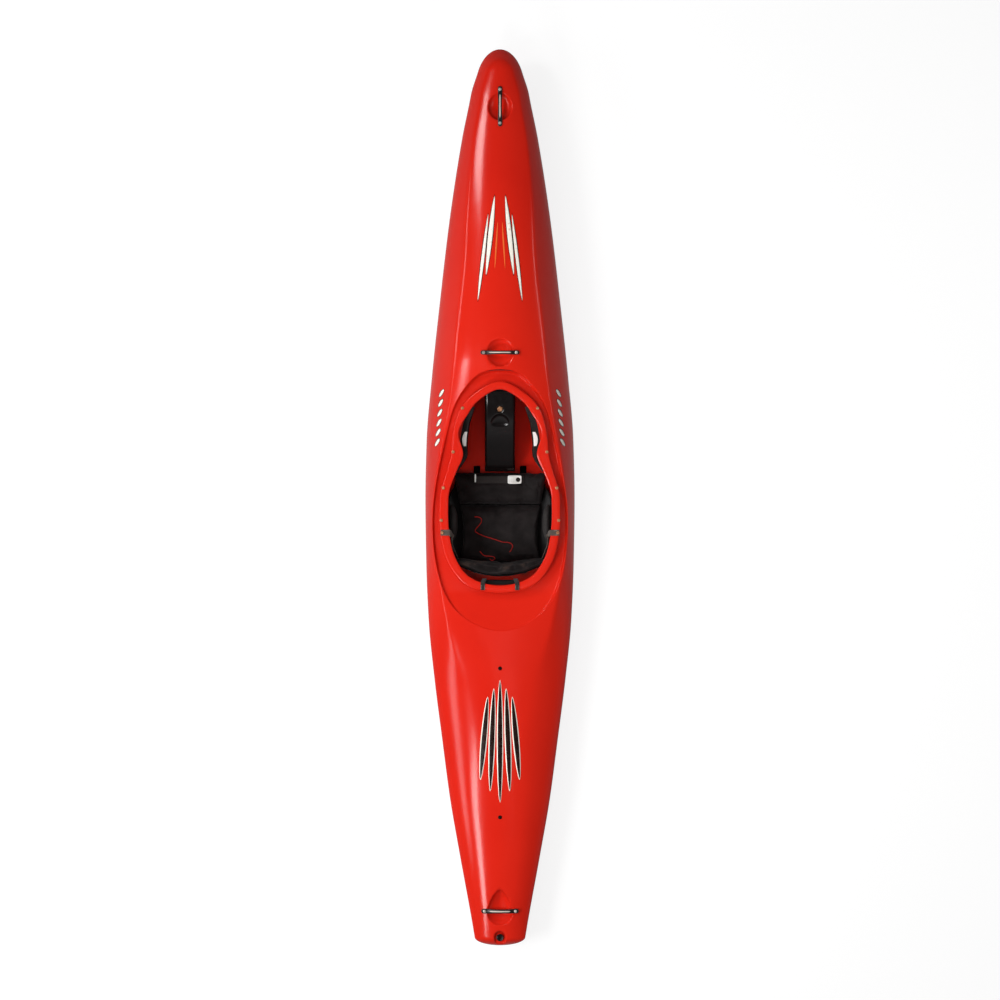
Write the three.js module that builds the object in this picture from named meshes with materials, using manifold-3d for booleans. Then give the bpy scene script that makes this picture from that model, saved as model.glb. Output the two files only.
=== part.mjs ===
// Whitewater kayak: a rotomoulded shell with its cockpit fittings.
// Millimetres, +X to starboard, +Y to the bow, +Z up, with z = 0 under the flat of the hull.

import * as THREE from 'three';
import { mergeVertices } from 'three/addons/utils/BufferGeometryUtils.js';
import Module from 'manifold-3d';

const wasm = await Module();
wasm.setup();

// General sizes
const LENGTH = 3655;
const BEAM = 610;
const DEPTH = 374;
const WALL = 5;
const GAP = 0.3;
const OVERRUN = 60;

// Hull form: heights along the boat, as shares of its depth, and how round the ends are in plan
const SHEER_HEIGHT_SHARE = 0.4545;
const BOW_ROCKER_SHARE = 0.4679;
const STERN_ROCKER_SHARE = 0.2941;
const BOW_TIP_SHARE = 0.631;
const STERN_TIP_SHARE = 0.4225;
const BOW_ROUND = 90;
const STERN_ROUND = 33;

// Hull form: [share of the length from the bow, share of the size that the name gives]
const PLAN_SHARES = [
  [0, 0.281], [0.056, 0.401], [0.1, 0.508], [0.19, 0.675], [0.279, 0.802], [0.368, 0.916], [0.435, 0.983],
  [0.502, 1], [0.569, 0.989], [0.636, 0.956], [0.703, 0.876], [0.769, 0.775], [0.836, 0.668], [0.903, 0.528],
  [0.97, 0.381], [1, 0.321],
];
const BOW_ROCKER_SHARES = [[0, 1], [0.05, 0.72], [0.12, 0.42], [0.2, 0.19], [0.28, 0.06], [0.36, 0], [1, 0]];
const STERN_ROCKER_SHARES = [[0, 0], [0.66, 0], [0.75, 0.06], [0.85, 0.3], [0.93, 0.65], [1, 1]];
const SHEER_SHARES = [[0, 1.4], [0.1, 1.3], [0.25, 1.15], [0.4, 1.03], [0.5, 1], [0.65, 0.99], [1, 1.02]];
const CROWN_SHARES = [
  [0, 0.77], [0.1, 0.85], [0.2, 0.922], [0.3, 0.984], [0.345, 1], [0.36, 0.995], [0.4007, 0.968],
  [0.4486, 0.896],
  [0.4888, 0.797], [0.5246, 0.735], [0.5692, 0.711], [0.6483, 0.706], [0.75, 0.69], [0.85, 0.645],
  [0.95, 0.58],
  [1, 0.54],
];
const SHOULDER_SHARES = [
  [0, 0.3], [0.049, 0.62], [0.106, 0.7], [0.163, 0.68], [0.234, 0.65], [0.323, 0.69], [0.368, 0.7],
  [0.4007, 0.73],
  [0.4486, 0.81], [0.4888, 0.87], [0.5246, 0.9], [0.5692, 0.88], [0.6059, 0.8], [0.6483, 0.71], [0.703, 0.58],
  [0.77, 0.55], [0.854, 0.58], [1, 0.6],
];
const FLAT_SHARES = [[0, 0.15], [0.1, 0.3], [0.25, 0.5], [0.4, 0.62], [0.6, 0.62], [0.8, 0.5], [1, 0.4]];
const DEADRISE_SHARES = [[0, 0.12], [0.2, 0.05], [0.36, 0], [0.66, 0], [1, 0.06]];
const CHINE_SHARE = 0.82;
const SIDE_OUT_SHARE = 0.94;
const SIDE_RISE_SHARE = 0.5;
const SHEER_EASE_SHARE = 0.8;
const SHOULDER_RISE_SHARE = 0.78;
const BEVEL_OUT_SHARE = 0.62;
const BEVEL_RISE_SHARE = 0.5;
const CROWN_EASE_SHARE = 0.5;
const TIP_SHARE = 0.14;
const END_STEP_SHARES = [0, 0.06, 0.2, 0.45, 0.75];
const STATION_SPANS = 28;

// Cockpit rim and the opening inside it: [share of the half width, share of the length from the front]
const RIM_FRONT = 473;
const RIM_LENGTH = 860;
const RIM_WIDTH = 492;
const RIM_FRONT_DROP = 10;
const RIM_REAR_DROP = 106;
const RIM_STAND = 38;
const RIM_THICK = 5;
const RIM_LIP = 24;
const RIM_EDGE_DROP = 10;
const RIM_SHARES = [
  [0, 0], [0.48, 0.07], [0.665, 0.135], [0.74, 0.196], [0.79, 0.272], [0.81, 0.348], [0.88, 0.424],
  [0.988, 0.528],
  [1, 0.593], [0.984, 0.72], [0.87, 0.849], [0.573, 0.959], [0, 1],
];
const RIM_SLOPE_SHARES = [
  [0, 1], [0.2, 0.854], [0.33, 0.6], [0.42, 0.43], [0.55, 0.21], [0.66, 0.1], [0.724, 0.04], [0.85, 0],
  [1, 0.01],
];
const OPENING_FRONT_MARGIN = 31;
const OPENING_REAR_MARGIN = 30;
const OPENING_SIDE_MARGIN = 35;
const OPENING_SHARES = [
  [0, 0], [0.46, 0.069], [0.635, 0.135], [0.74, 0.178], [0.8, 0.229], [0.711, 0.334], [0.83, 0.413],
  [0.976, 0.516],
  [1, 0.6], [0.979, 0.732], [0.863, 0.857], [0.593, 0.954], [0, 1],
];
const RIM_SPANS = 48;

// Trough in the deck round the rim, with its shallow run-out behind
const TROUGH_FRONT_MARGIN = 39;
const TROUGH_REAR_MARGIN = 155;
const TROUGH_SIDE_MARGIN = 25;
const TROUGH_SLOPE = 8;
const TROUGH_SHARES = [
  [0, 0], [0.29, 0.014], [0.5, 0.064], [0.686, 0.141], [0.849, 0.307], [0.956, 0.447], [1, 0.571],
  [0.956, 0.726],
  [0.812, 0.858], [0.59, 0.939], [0.295, 0.984], [0, 1],
];
const TROUGH_SPANS = 28;
const TROUGH_END_SHARE = 0.04;
// How far from the trough's ends the lengths of hull and deck meet
const SHELL_JOINT_AHEAD = 14;
const SHELL_JOINT_BEHIND = 18;

// Fasteners
const BOLT_HEAD_RADIUS = 6.5;
const BOLT_HEAD_HEIGHT = 3.5;
const BOLT_RADIUS = 3;
const BOLT_EDGE = 7.5;
const NUT_RADIUS = 5.5;
const NUT_HEIGHT = 5;
const SCREW_HEAD_RADIUS = 5;
const SCREW_HEAD_HEIGHT = 2.5;
const SCREW_RADIUS = 2.2;
const SCREW_LENGTH = 26;
const DECK_SCREW_HEAD_RADIUS = 8;
const DECK_SCREW_LENGTH = 45;
const ROUND_SIDES = 8;

// Grab handles, each over a dish in the deck
const HANDLE_THICK = 10;
const HANDLE_RISE = 15;
const HANDLE_ARCH_SHARE = 0.8;
const FOOT_LENGTH = 27;
const FOOT_HEIGHT = 6;
const FOOT_SINK = 14;
const DISH_DEPTH = 30;
const DISH_SIDES = 16;
const BOW_HANDLE_INSET = 237.5;
const FORE_HANDLE_AHEAD = 116;
const STERN_HANDLE_INSET = 143.5;
const BOW_HANDLE = {
  name: 'bow', place: LENGTH / 2 - BOW_HANDLE_INSET, length: 165, width: 18, dishAcross: 98,
  dishAlong: 109, lengthwise: true,
};
const FORE_HANDLE = {
  name: 'fore', place: RIM_FRONT + FORE_HANDLE_AHEAD, length: 159, width: 17, dishAcross: 106,
  dishAlong: 113, lengthwise: false,
};
const STERN_HANDLE = {
  name: 'stern', place: STERN_HANDLE_INSET - LENGTH / 2, length: 153, width: 19, dishAcross: 106,
  dishAlong: 140, lengthwise: false,
};

// Drain plug
const PLUG_INSET = 34.5;
const PLUG_RADIUS = 15;
const PLUG_HEIGHT = 8;
const PLUG_SHAFT_RADIUS = 9;
const PLUG_SHAFT_LENGTH = 16;
const PLUG_SLOT = 3;
const PLUG_SIDES = 20;
const GASKET_THICK = 2.5;
const GASKET_WIDTH = 3.5;
const PLUG_POCKET_WIDTH = 36;
const PLUG_POCKET_DEPTH = 19;
const PLUG_POCKET_REACH = 20;

// Foam pillars and the moulded step on the end of the front one
const PILLAR_SCREW_BEHIND = 306;
const PILLAR_SCREW_INSET = 527.5;
const REAR_PILLAR_AHEAD = 51;
const REAR_PILLAR_INSET = 481.5;
const REAR_PILLAR_WIDTH = 130;
const REAR_PILLAR_END_WIDTH = 60;
const FRONT_PILLAR_WIDTH = 110;
const FRONT_PILLAR_LENGTH = 258;
const STEP_BEHIND = 35;
const STEP_LENGTH = 328;
const STEP_WIDTH = 124;
const STEP_CLEAR = 18;
const STEP_SHARES = [[1, 0.26], [0.96, 0.32], [0.86, 0.4], [0.55, 0.64], [0.33, 0.84], [0.15, 0.95], [0, 1]];
const STEP_EDGE = 12;
const STEP_HOLLOW_BEHIND = 120;
const STEP_HOLLOW_WIDTH = 78;
const STEP_HOLLOW_DEPTH = 16;
const STEP_BOLT_BEHIND = 76;

// Seat
const RUNNER_SPACING = 190;
const RUNNER_WIDTH = 26;
const RUNNER_HEIGHT = 12;
const RUNNER_LENGTH = 440;
const SEAT_FRONT = 98;
const SEAT_LENGTH = 372;
const SEAT_WIDTH = 428;
const SEAT_BASE_WIDTH = 340;
const SEAT_THICK = 6;
const WING_HEIGHT = 150;
const WING_SHARES = [
  [0, 0.12], [0.1, 0.18], [0.22, 0.5], [0.34, 0.86], [0.5, 1], [0.68, 0.98], [0.84, 0.6], [1, 0.3],
];
const WING_ELBOW_SHARE = 0.2;
const TAB_CLEAR = 2;
const TAB_THICK = 6;
const TAB_FRONT = 102;
const TAB_LENGTH = 214;
const TAB_EDGE = 20;
const TAB_WEB_LENGTH = 90;
const SEAT_TRAVEL = 45;
const SEAT_BOLT_PLACES = [41, -91];
const PAD_WIDTH = 336;
const PAD_LENGTH = 236;
const PAD_HEIGHT = 34;
const PAD_CHANNEL = 7;
const PAD_DRAW = 9;
// A cushion's section: its height at the ends, and the places of its corners
const CUSHION_END_SHARE = 0.45;
const CUSHION_EDGE_SHARE = 0.35;
const CUSHION_SIDE_SHARE = 0.45;
const CUSHION_DROP_SHARE = 0.12;
const CUSHION_RIM_SHARE = 0.62;
const CUSHION_LIFT_SHARE = 0.4;
const CUSHION_CROWN_SHARE = 0.3;
const HIP_PAD_THICK = 36;
const HIP_PAD_LENGTH = 150;
const HIP_PAD_HEIGHT = 122;
const HIP_PAD_FRONT = -26;
const HIP_PAD_LIFT = 22;

// Leg lifter with its strap
const LIFTER_WIDTH = 392;
const LIFTER_LENGTH = 128;
const LIFTER_HINGE = -26;
const LIFTER_REAR_HEIGHT = 30;
const LIFTER_FRONT_HEIGHT = 50;
const LIFTER_CORNER = 16;
const LIFTER_RINGS = 8;
const LIFTER_NOSE_SHARE = 0.85;
const LIFTER_NOSE_FALL = 2;
const LIFTER_ELBOW_SHARE = 0.75;
const LIFTER_RISE_SHARE = 0.3;
const LIFTER_WING_SHARE = 0.8;
const LIFTER_CROWN_SHARE = 0.58;
const LIFTER_STRAP_LENGTH = 196;
const LIFTER_STRAP_WIDTH = 28;
const LIFTER_STRAP_PLACE = 76;
const STRAP_THICK = 2;
const BUCKLE_LENGTH = 57;
const BUCKLE_WIDTH = 35;
const BUCKLE_THICK = 7;
const BUCKLE_PLACE = 60;
const BUCKLE_BORE = 9;
const TAB_STRAP_LENGTH = 34;
const TAB_STRAP_WIDTH = 9;
const TAB_STRAP_PLACE = -99;

// Backband
const BAND_WIDTH = 356;
const BAND_FRONT = -236;
const BAND_BOW = 52;
const BAND_THICK = 26;
const BAND_SHELL = 5;
const BAND_HEIGHT = 146;
const BAND_END_HEIGHT = 64;
const BAND_BELOW_RIM = 24;
const BAND_END_DROP = 32;
const BAND_SPANS = 14;

// Straps from the rim to the backband
const SIDE_STRAP_WIDTH = 24;
const SIDE_STRAP_PLACE = -141;
const REAR_STRAP_WIDTH = 18;
const REAR_STRAP_SPREAD = 70;
const STRAP_CLEAR = 9;

// Thigh braces
const BRACE_REAR = 108;
const BRACE_LENGTH = 262;
const BRACE_THICK = 24;
const BRACE_WIDTH = 62;
const BRACE_CLEAR = 1.6;
const BRACE_TRAVEL = 18;
const BRACE_REACH_SHARES = [[0, 0.1], [0.16, 0.34], [0.36, 0.5], [0.6, 0.9], [0.8, 0.6], [1, 0.25]];
const BRACE_REACH = 46;
const BRACE_TAPER_SHARES = [[0, 0.45], [0.2, 0.9], [0.5, 1], [0.8, 0.9], [1, 0.45]];
const BRACE_BOLT_PLACES = [364, 187];
const PATCH_LENGTH = 58;
const PATCH_WIDTH = 18;
const PATCH_THICK = 2;
const PATCH_PLACE = 240;

// Footbrace
const RAIL_STAND = 18;
const RAIL_LENGTH = 270;
const RAIL_HEIGHT = 32;
const RAIL_AHEAD = 353;
const RAIL_LIFT_SHARE = 0.4;
const PLATE_THICK = 8;
const PLATE_RISE = 68;
const PLATE_DROP = 90;
const PLATE_END_WIDTH = 250;
const FOOT_PAD_THICK = 26;
const FOOT_PAD_MARGIN = 8;

// Cords
const CORD_DIAMETER = 3.6;
const CORD_SIDES = 8;
const FRONT_CORD_STEPS = 40;
const REAR_CORD_STEPS = 14;
// Routes in plan over the seat pad
const FRONT_CORD_ROUTE = [
  [39.8, -221], [46, -213], [51.5, -200], [49, -190.5], [42, -185], [31, -181.8], [20, -181.6], [8, -180],
  [-8, -174.5], [-24, -169], [-42, -163.5], [-60, -158], [-78, -151], [-92, -144], [-100.5, -138],
  [-101, -130.5],
  [-94, -121], [-83.5, -109], [-76.5, -97], [-76.5, -86], [-84.5, -79.5], [-95, -77.6], [-104, -77.4],
];
const REAR_CORD_ROUTE = [
  [-42, -250], [-36.5, -255], [-28, -255.5], [-21.5, -251], [-22.5, -244.5], [-29.6, -240.4], [-41, -239],
  [-53, -238.4], [-64, -236.4], [-71.5, -231.5], [-77, -225.5], [-83, -219],
];

const HALF_LENGTH = LENGTH / 2;
const RIM_REAR = RIM_FRONT - RIM_LENGTH;
const OPENING_FRONT = RIM_FRONT - OPENING_FRONT_MARGIN;
const OPENING_LENGTH = RIM_LENGTH - OPENING_FRONT_MARGIN - OPENING_REAR_MARGIN;
const OPENING_WIDTH = RIM_WIDTH - 2 * OPENING_SIDE_MARGIN;
const TROUGH_FRONT = RIM_FRONT + TROUGH_FRONT_MARGIN;
const TROUGH_LENGTH = TROUGH_FRONT_MARGIN + RIM_LENGTH + TROUGH_REAR_MARGIN;
const TROUGH_WIDTH = RIM_WIDTH + 2 * TROUGH_SIDE_MARGIN;
const TROUGH_REAR = TROUGH_FRONT - TROUGH_LENGTH;
const PLUG_PLACE = PLUG_INSET - HALF_LENGTH;
const PILLAR_SCREW_PLACES = [RIM_REAR - PILLAR_SCREW_BEHIND, PILLAR_SCREW_INSET - HALF_LENGTH];
const REAR_PILLAR_FRONT = RIM_REAR + REAR_PILLAR_AHEAD;
const REAR_PILLAR_LENGTH = REAR_PILLAR_FRONT + HALF_LENGTH - REAR_PILLAR_INSET;
const STEP_FRONT = RIM_FRONT - STEP_BEHIND;
const STEP_HOLLOW_PLACE = STEP_FRONT - STEP_HOLLOW_BEHIND;
const STEP_BOLT_PLACE = STEP_FRONT - STEP_BOLT_BEHIND;
const BAND_TOP = DEPTH - RIM_REAR_DROP - BAND_BELOW_RIM;
const BAND_END_TOP = BAND_TOP - BAND_END_DROP;
const RAIL_PLACE = RIM_FRONT + RAIL_AHEAD;
const RAIL_LIFT = RAIL_LIFT_SHARE * DEPTH;
const PLATE_TOP = RAIL_LIFT + RAIL_HEIGHT + PLATE_RISE;
const PLATE_BOTTOM = RAIL_LIFT - PLATE_DROP;

// Materials
const material = (color, roughness, metalness = 0) =>
  new THREE.MeshStandardMaterial({ color, roughness, metalness });
const RED_SHELL = material(0xd6362a, 0.28);
const BLACK_MOULDING = material(0x1a1513, 0.45);
const BLACK_FOAM = material(0x15120f, 0.85);
const BLACK_CLOTH = material(0x191414, 0.9);
const GREY_FOAM = material(0x2c2a2a, 0.85);
const WEBBING = material(0x3a332f, 0.9);
const PALE_PLASTIC = material(0xe4e4e2, 0.4);
const BRASS = material(0xb0713a, 0.35, 1);
const STEEL = material(0x24211f, 0.4, 1);
const ALUMINIUM = material(0xa8aaac, 0.4, 1);
const RUBBER = material(0x141414, 0.8);
const RED_CORD = material(0xb01812, 0.7);

// Curves through hand-chosen points

// A smooth monotone curve through [place, value] pairs
function through(pairs) {
  const last = pairs.length - 1;
  const rise = (i) => (pairs[i + 1][1] - pairs[i][1]) / (pairs[i + 1][0] - pairs[i][0]);
  const slope = (i) => {
    if (i === 0 || i === last) {
      return rise(Math.min(i, last - 1));
    }
    const before = rise(i - 1);
    const after = rise(i);
    return before * after <= 0 ? 0 : 2 * before * after / (before + after);
  };
  return (place) => {
    const held = Math.min(Math.max(place, pairs[0][0]), pairs[last][0]);
    let i = 0;
    while (i < last - 1 && held > pairs[i + 1][0]) {
      i += 1;
    }
    const width = pairs[i + 1][0] - pairs[i][0];
    const t = (held - pairs[i][0]) / width;
    const fromStart = (1 + 2 * t) * (1 - t) ** 2 * pairs[i][1] + t * (1 - t) ** 2 * width * slope(i);
    const fromEnd = t ** 2 * (3 - 2 * t) * pairs[i + 1][1] + t ** 2 * (t - 1) * width * slope(i + 1);
    return fromStart + fromEnd;
  };
}

// The points of a quadratic curve after its start, in as many spans as asked
function bend(start, control, end, spans) {
  const curve = new THREE.QuadraticBezierCurve(
    new THREE.Vector2(...start), new THREE.Vector2(...control), new THREE.Vector2(...end));
  return curve.getPoints(spans).slice(1).map((p) => [p.x, p.y]);
}

// A closed outline in plan, the same on both sides: t runs from the front down the starboard side and back
function planOutline(shares, width, front, length) {
  const placed = ([out, along]) => new THREE.Vector3(out * width / 2, front - along * length, 0);
  const starboard = shares.map(placed);
  const port = starboard.slice(1, -1).reverse().map((p) => new THREE.Vector3(-p.x, p.y, 0));
  const curve = new THREE.CatmullRomCurve3([...starboard, ...port], true, 'centripetal');
  return (t) => curve.getPoint(t);
}

// Closed bodies

function signedVolume(points, triangles) {
  let total = 0;
  for (let i = 0; i < triangles.length; i += 3) {
    const [a, b, c] = [0, 1, 2].map((k) => points[triangles[i + k]]);
    total += new THREE.Vector3().crossVectors(b, c).dot(a);
  }
  return total;
}

// A geometry from points and triangles, with its faces turned outwards
function closedGeometry(points, triangles) {
  const turned = signedVolume(points, triangles) < 0 ? [...triangles].reverse() : triangles;
  const geometry = new THREE.BufferGeometry();
  const numbers = points.flatMap((p) => [p.x, p.y, p.z]);
  geometry.setAttribute('position', new THREE.Float32BufferAttribute(numbers, 3));
  geometry.setIndex(turned);
  return geometry;
}

// The triangles that close one ring, wound as the ring runs
function capTriangles(ring) {
  const normal = new THREE.Vector3();
  for (let i = 1; i < ring.length - 1; i += 1) {
    const a = new THREE.Vector3().subVectors(ring[i], ring[0]);
    const b = new THREE.Vector3().subVectors(ring[i + 1], ring[0]);
    normal.add(new THREE.Vector3().crossVectors(a, b));
  }
  normal.normalize();
  const along = new THREE.Vector3().subVectors(ring[1], ring[0]);
  along.addScaledVector(normal, -along.dot(normal)).normalize();
  const across = new THREE.Vector3().crossVectors(normal, along);
  const flat = ring.map((p) => new THREE.Vector2(p.dot(along), p.dot(across)));
  const turn = Math.sign(THREE.ShapeUtils.area(flat));
  return THREE.ShapeUtils.triangulateShape(flat, []).map(([a, b, c]) => {
    const own = Math.sign(THREE.ShapeUtils.area([flat[a], flat[b], flat[c]]));
    return own === turn ? [a, b, c] : [a, c, b];
  });
}

// A body through rings of equally many points. Its ends are fans round a middle point, or ears where a ring
// isn't round enough for a fan, or joined to each other.
function loft(rings, ends = 'fan') {
  const count = rings[0].length;
  const points = rings.flat();
  const triangles = [];
  const spans = ends === 'joined' ? rings.length : rings.length - 1;
  for (let i = 0; i < spans; i += 1) {
    const row = i * count;
    const after = ((i + 1) % rings.length) * count;
    for (let k = 0; k < count; k += 1) {
      const next = (k + 1) % count;
      triangles.push(row + k, row + next, after + next, row + k, after + next, after + k);
    }
  }
  const end = (rings.length - 1) * count;
  if (ends === 'ears') {
    capTriangles(rings[0]).forEach(([a, b, c]) => triangles.push(a, c, b));
    capTriangles(rings[rings.length - 1]).forEach(([a, b, c]) => triangles.push(end + a, end + b, end + c));
  }
  if (ends === 'fan') {
    const middle = (ring) => ring.reduce((sum, p) => sum.add(p), new THREE.Vector3()).divideScalar(count);
    const first = points.push(middle(rings[0])) - 1;
    const last = points.push(middle(rings[rings.length - 1])) - 1;
    for (let k = 0; k < count; k += 1) {
      const next = (k + 1) % count;
      triangles.push(first, next, k, last, end + k, end + next);
    }
  }
  return closedGeometry(points, triangles);
}

// A geometry as a solid for cutting and joining
function solid(geometry) {
  const bare = geometry.clone();
  bare.deleteAttribute('normal');
  bare.deleteAttribute('uv');
  const merged = mergeVertices(bare);
  const index = merged.index.array;
  const kept = [];
  for (let i = 0; i < index.length; i += 3) {
    const [a, b, c] = [index[i], index[i + 1], index[i + 2]];
    if (a !== b && b !== c && c !== a) {
      kept.push(a, b, c);
    }
  }
  return new wasm.Manifold(new wasm.Mesh({
    numProp: 3,
    vertProperties: new Float32Array(merged.attributes.position.array),
    triVerts: new Uint32Array(kept),
  }));
}

// A solid as a geometry again
function geometryOf(body) {
  const mesh = body.getMesh();
  const geometry = new THREE.BufferGeometry();
  geometry.setAttribute('position', new THREE.BufferAttribute(new Float32Array(mesh.vertProperties), 3));
  geometry.setIndex(new THREE.BufferAttribute(new Uint32Array(mesh.triVerts), 1));
  return geometry;
}

// A box from its lowest to its highest corner
function block(low, high) {
  const size = high.map((value, i) => value - low[i]);
  return new THREE.BoxGeometry(...size).translate(...low.map((value, i) => value + size[i] / 2));
}

// A round body about a vertical axis, from [radius, height] pairs
function turned(profile, place, sides = ROUND_SIDES) {
  const points = profile.map(([radius, height]) => new THREE.Vector2(radius, height));
  return new THREE.LatheGeometry(points, sides).rotateX(Math.PI / 2).translate(...place);
}

// A cylinder about a vertical axis from one height to another
const rod = (x, y, bottom, top, radius, sides = ROUND_SIDES) =>
  turned([[0, bottom], [radius, bottom], [radius, top], [0, top]], [x, y, 0], sides);

// A shape given in plan or side view, extruded along the third axis
const flatShape = (points) => new THREE.Shape(points.map((p) => new THREE.Vector2(...p)));
const extruded = (shape, depth) =>
  new THREE.ExtrudeGeometry(shape, { depth, bevelEnabled: false, curveSegments: ROUND_SIDES / 2 });

const point = (x, y, z) => new THREE.Vector3(x, y, z);

// Hull form

const planShare = through(PLAN_SHARES);
const bowRocker = through(BOW_ROCKER_SHARES);
const sternRocker = through(STERN_ROCKER_SHARES);
const rockerShare = (share) => bowRocker(share) * BOW_ROCKER_SHARE + sternRocker(share) * STERN_ROCKER_SHARE;
const sheerShare = through(SHEER_SHARES);
const crownShare = through(CROWN_SHARES);
const shoulderShare = through(SHOULDER_SHARES);
const flatShare = through(FLAT_SHARES);
const deadriseShare = through(DEADRISE_SHARES);
const along = (y) => (HALF_LENGTH - y) / LENGTH;

// How far a section has closed towards the tip: 1 away from the ends
function tipShare(y, inset) {
  const closing = (distance, round) => {
    const t = Math.min(Math.max(distance / round, 0), 1);
    return Math.max(Math.sqrt(1 - (1 - t) ** 2), TIP_SHARE);
  };
  return Math.min(
    closing(HALF_LENGTH - inset - y, BOW_ROUND), closing(HALF_LENGTH - inset + y, STERN_ROUND));
}

const tipped = (height, y, inset) => {
  const tip = (y > 0 ? BOW_TIP_SHARE : STERN_TIP_SHARE) * DEPTH;
  return tip + (height - tip) * tipShare(y, inset);
};
const halfBeam = (y, inset = 0) => (planShare(along(y)) * BEAM / 2 - inset) * tipShare(y, inset);
const keel = (y, inset = 0) => tipped(rockerShare(along(y)) * DEPTH + inset, y, inset);
const crown = (y, inset = 0) => tipped(crownShare(along(y)) * DEPTH - inset, y, inset);
const sheer = (y, inset = 0) => tipped(sheerShare(along(y)) * SHEER_HEIGHT_SHARE * DEPTH, y, inset);

// The starboard half of a section from the keel to the sheer, as [out, up] pairs
function hullHalf(y, inset = 0) {
  const beam = halfBeam(y, inset);
  const bottom = keel(y, inset);
  const top = sheer(y, inset);
  const flat = [beam * flatShare(along(y)), bottom + deadriseShare(along(y)) * (top - bottom)];
  const side = [beam * SIDE_OUT_SHARE, bottom + SIDE_RISE_SHARE * (top - bottom)];
  const ease = [beam, bottom + SHEER_EASE_SHARE * (top - bottom)];
  const chine = [beam * CHINE_SHARE, flat[1]];
  return [[0, bottom], flat, ...bend(flat, chine, side, 3), ...bend(side, ease, [beam, top], 2)];
}

// The starboard half of a section from the sheer to the crown
function deckHalf(y, inset = 0) {
  const beam = halfBeam(y, inset);
  const bottom = sheer(y, inset);
  const top = crown(y, inset);
  const shoulderOut = shoulderShare(along(y));
  const shoulder = [beam * shoulderOut, bottom + SHOULDER_RISE_SHARE * (top - bottom)];
  const bevel = [
    beam * (shoulderOut + BEVEL_OUT_SHARE * (1 - shoulderOut)),
    bottom + BEVEL_RISE_SHARE * (shoulder[1] - bottom),
  ];
  const ease = [beam, bottom + BEVEL_RISE_SHARE * (bevel[1] - bottom)];
  const rise = [shoulder[0] * CROWN_EASE_SHARE, top];
  const flank = bend([beam, bottom], ease, bevel, 2);
  const panel = bend(shoulder, rise, [0, top], 3);
  return [[beam, bottom], ...flank, shoulder, ...panel];
}

// A whole ring from a starboard half that starts or ends on the centre line
function ringAt(y, half) {
  const starboard = half.map(([out, up]) => point(out, y, up));
  const port = half.filter(([out]) => out !== 0).reverse().map(([out, up]) => point(-out, y, up));
  return [...starboard, ...port];
}

// The stations of the shell from the bow to the stern, closer at the round ends
function stations(inset) {
  const bow = HALF_LENGTH - inset;
  const stern = -bow;
  const places = END_STEP_SHARES.map((share) => bow - share * BOW_ROUND);
  const start = bow - BOW_ROUND;
  const reach = stern + STERN_ROUND - start;
  for (let i = 0; i <= STATION_SPANS; i += 1) {
    places.push(start + reach * i / STATION_SPANS);
  }
  return [...places, ...END_STEP_SHARES.map((share) => stern + share * STERN_ROUND).reverse()];
}

const shiftUp = (half, lift, edge) => half.map(([out, up], i) => [out, i === edge ? up + lift : up]);
const wholeHalf = (y, inset) => [...hullHalf(y, inset), ...deckHalf(y, inset).slice(1)];
const shellBody = (inset) => solid(loft(stations(inset).map((y) => ringAt(y, wholeHalf(y, inset)))));
const lowerBody = () => solid(loft(stations(0).map((y) => {
  const half = hullHalf(y);
  return ringAt(y, shiftUp(half, -GAP / 2, half.length - 1));
})));
const upperBody = () => solid(loft(stations(0).map((y) => ringAt(y, shiftUp(deckHalf(y), GAP / 2, 0)))));

// Cockpit outlines and levels

const rimOutline = planOutline(RIM_SHARES, RIM_WIDTH, RIM_FRONT, RIM_LENGTH);
const openingOutline = planOutline(OPENING_SHARES, OPENING_WIDTH, OPENING_FRONT, OPENING_LENGTH);
const troughOutline = planOutline(TROUGH_SHARES, TROUGH_WIDTH, TROUGH_FRONT, TROUGH_LENGTH);
const rimSlope = through(RIM_SLOPE_SHARES);
const rimTop = (y) =>
  DEPTH - RIM_REAR_DROP + rimSlope((RIM_FRONT - y) / RIM_LENGTH) * (RIM_REAR_DROP - RIM_FRONT_DROP);

// The floor of the trough, which climbs back to the deck behind the rim
function troughFloor(y) {
  const floor = rimTop(y) - RIM_STAND;
  const climb = Math.min(Math.max((RIM_REAR - y) / (RIM_REAR - TROUGH_REAR), 0), 1);
  return floor + climb * (crown(y) - floor);
}

// Points of the rim at one place round it: outer edge, foot of the riser outside and inside, inner edge
function rimPlaces(t) {
  const outer = rimOutline(t);
  const inner = openingOutline(t);
  const inward = new THREE.Vector3().subVectors(inner, outer).normalize();
  const at = (distance) => outer.clone().addScaledVector(inward, distance);
  return { outer, lip: at(WALL), riserOut: at(RIM_LIP), riserIn: at(RIM_LIP + WALL), inner };
}

// Starboard half width of an outline at a place along the boat
function halfWidthAt(outlinePoint, y) {
  let [front, rear] = [0, 0.5];
  for (let i = 0; i < 30; i += 1) {
    const middle = (front + rear) / 2;
    if (outlinePoint(middle).y > y) {
      front = middle;
    } else {
      rear = middle;
    }
  }
  return outlinePoint(front).x;
}
const openingHalf = (y) => halfWidthAt(openingOutline, y);
const rimHalf = (y) => halfWidthAt(rimOutline, y);

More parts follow.
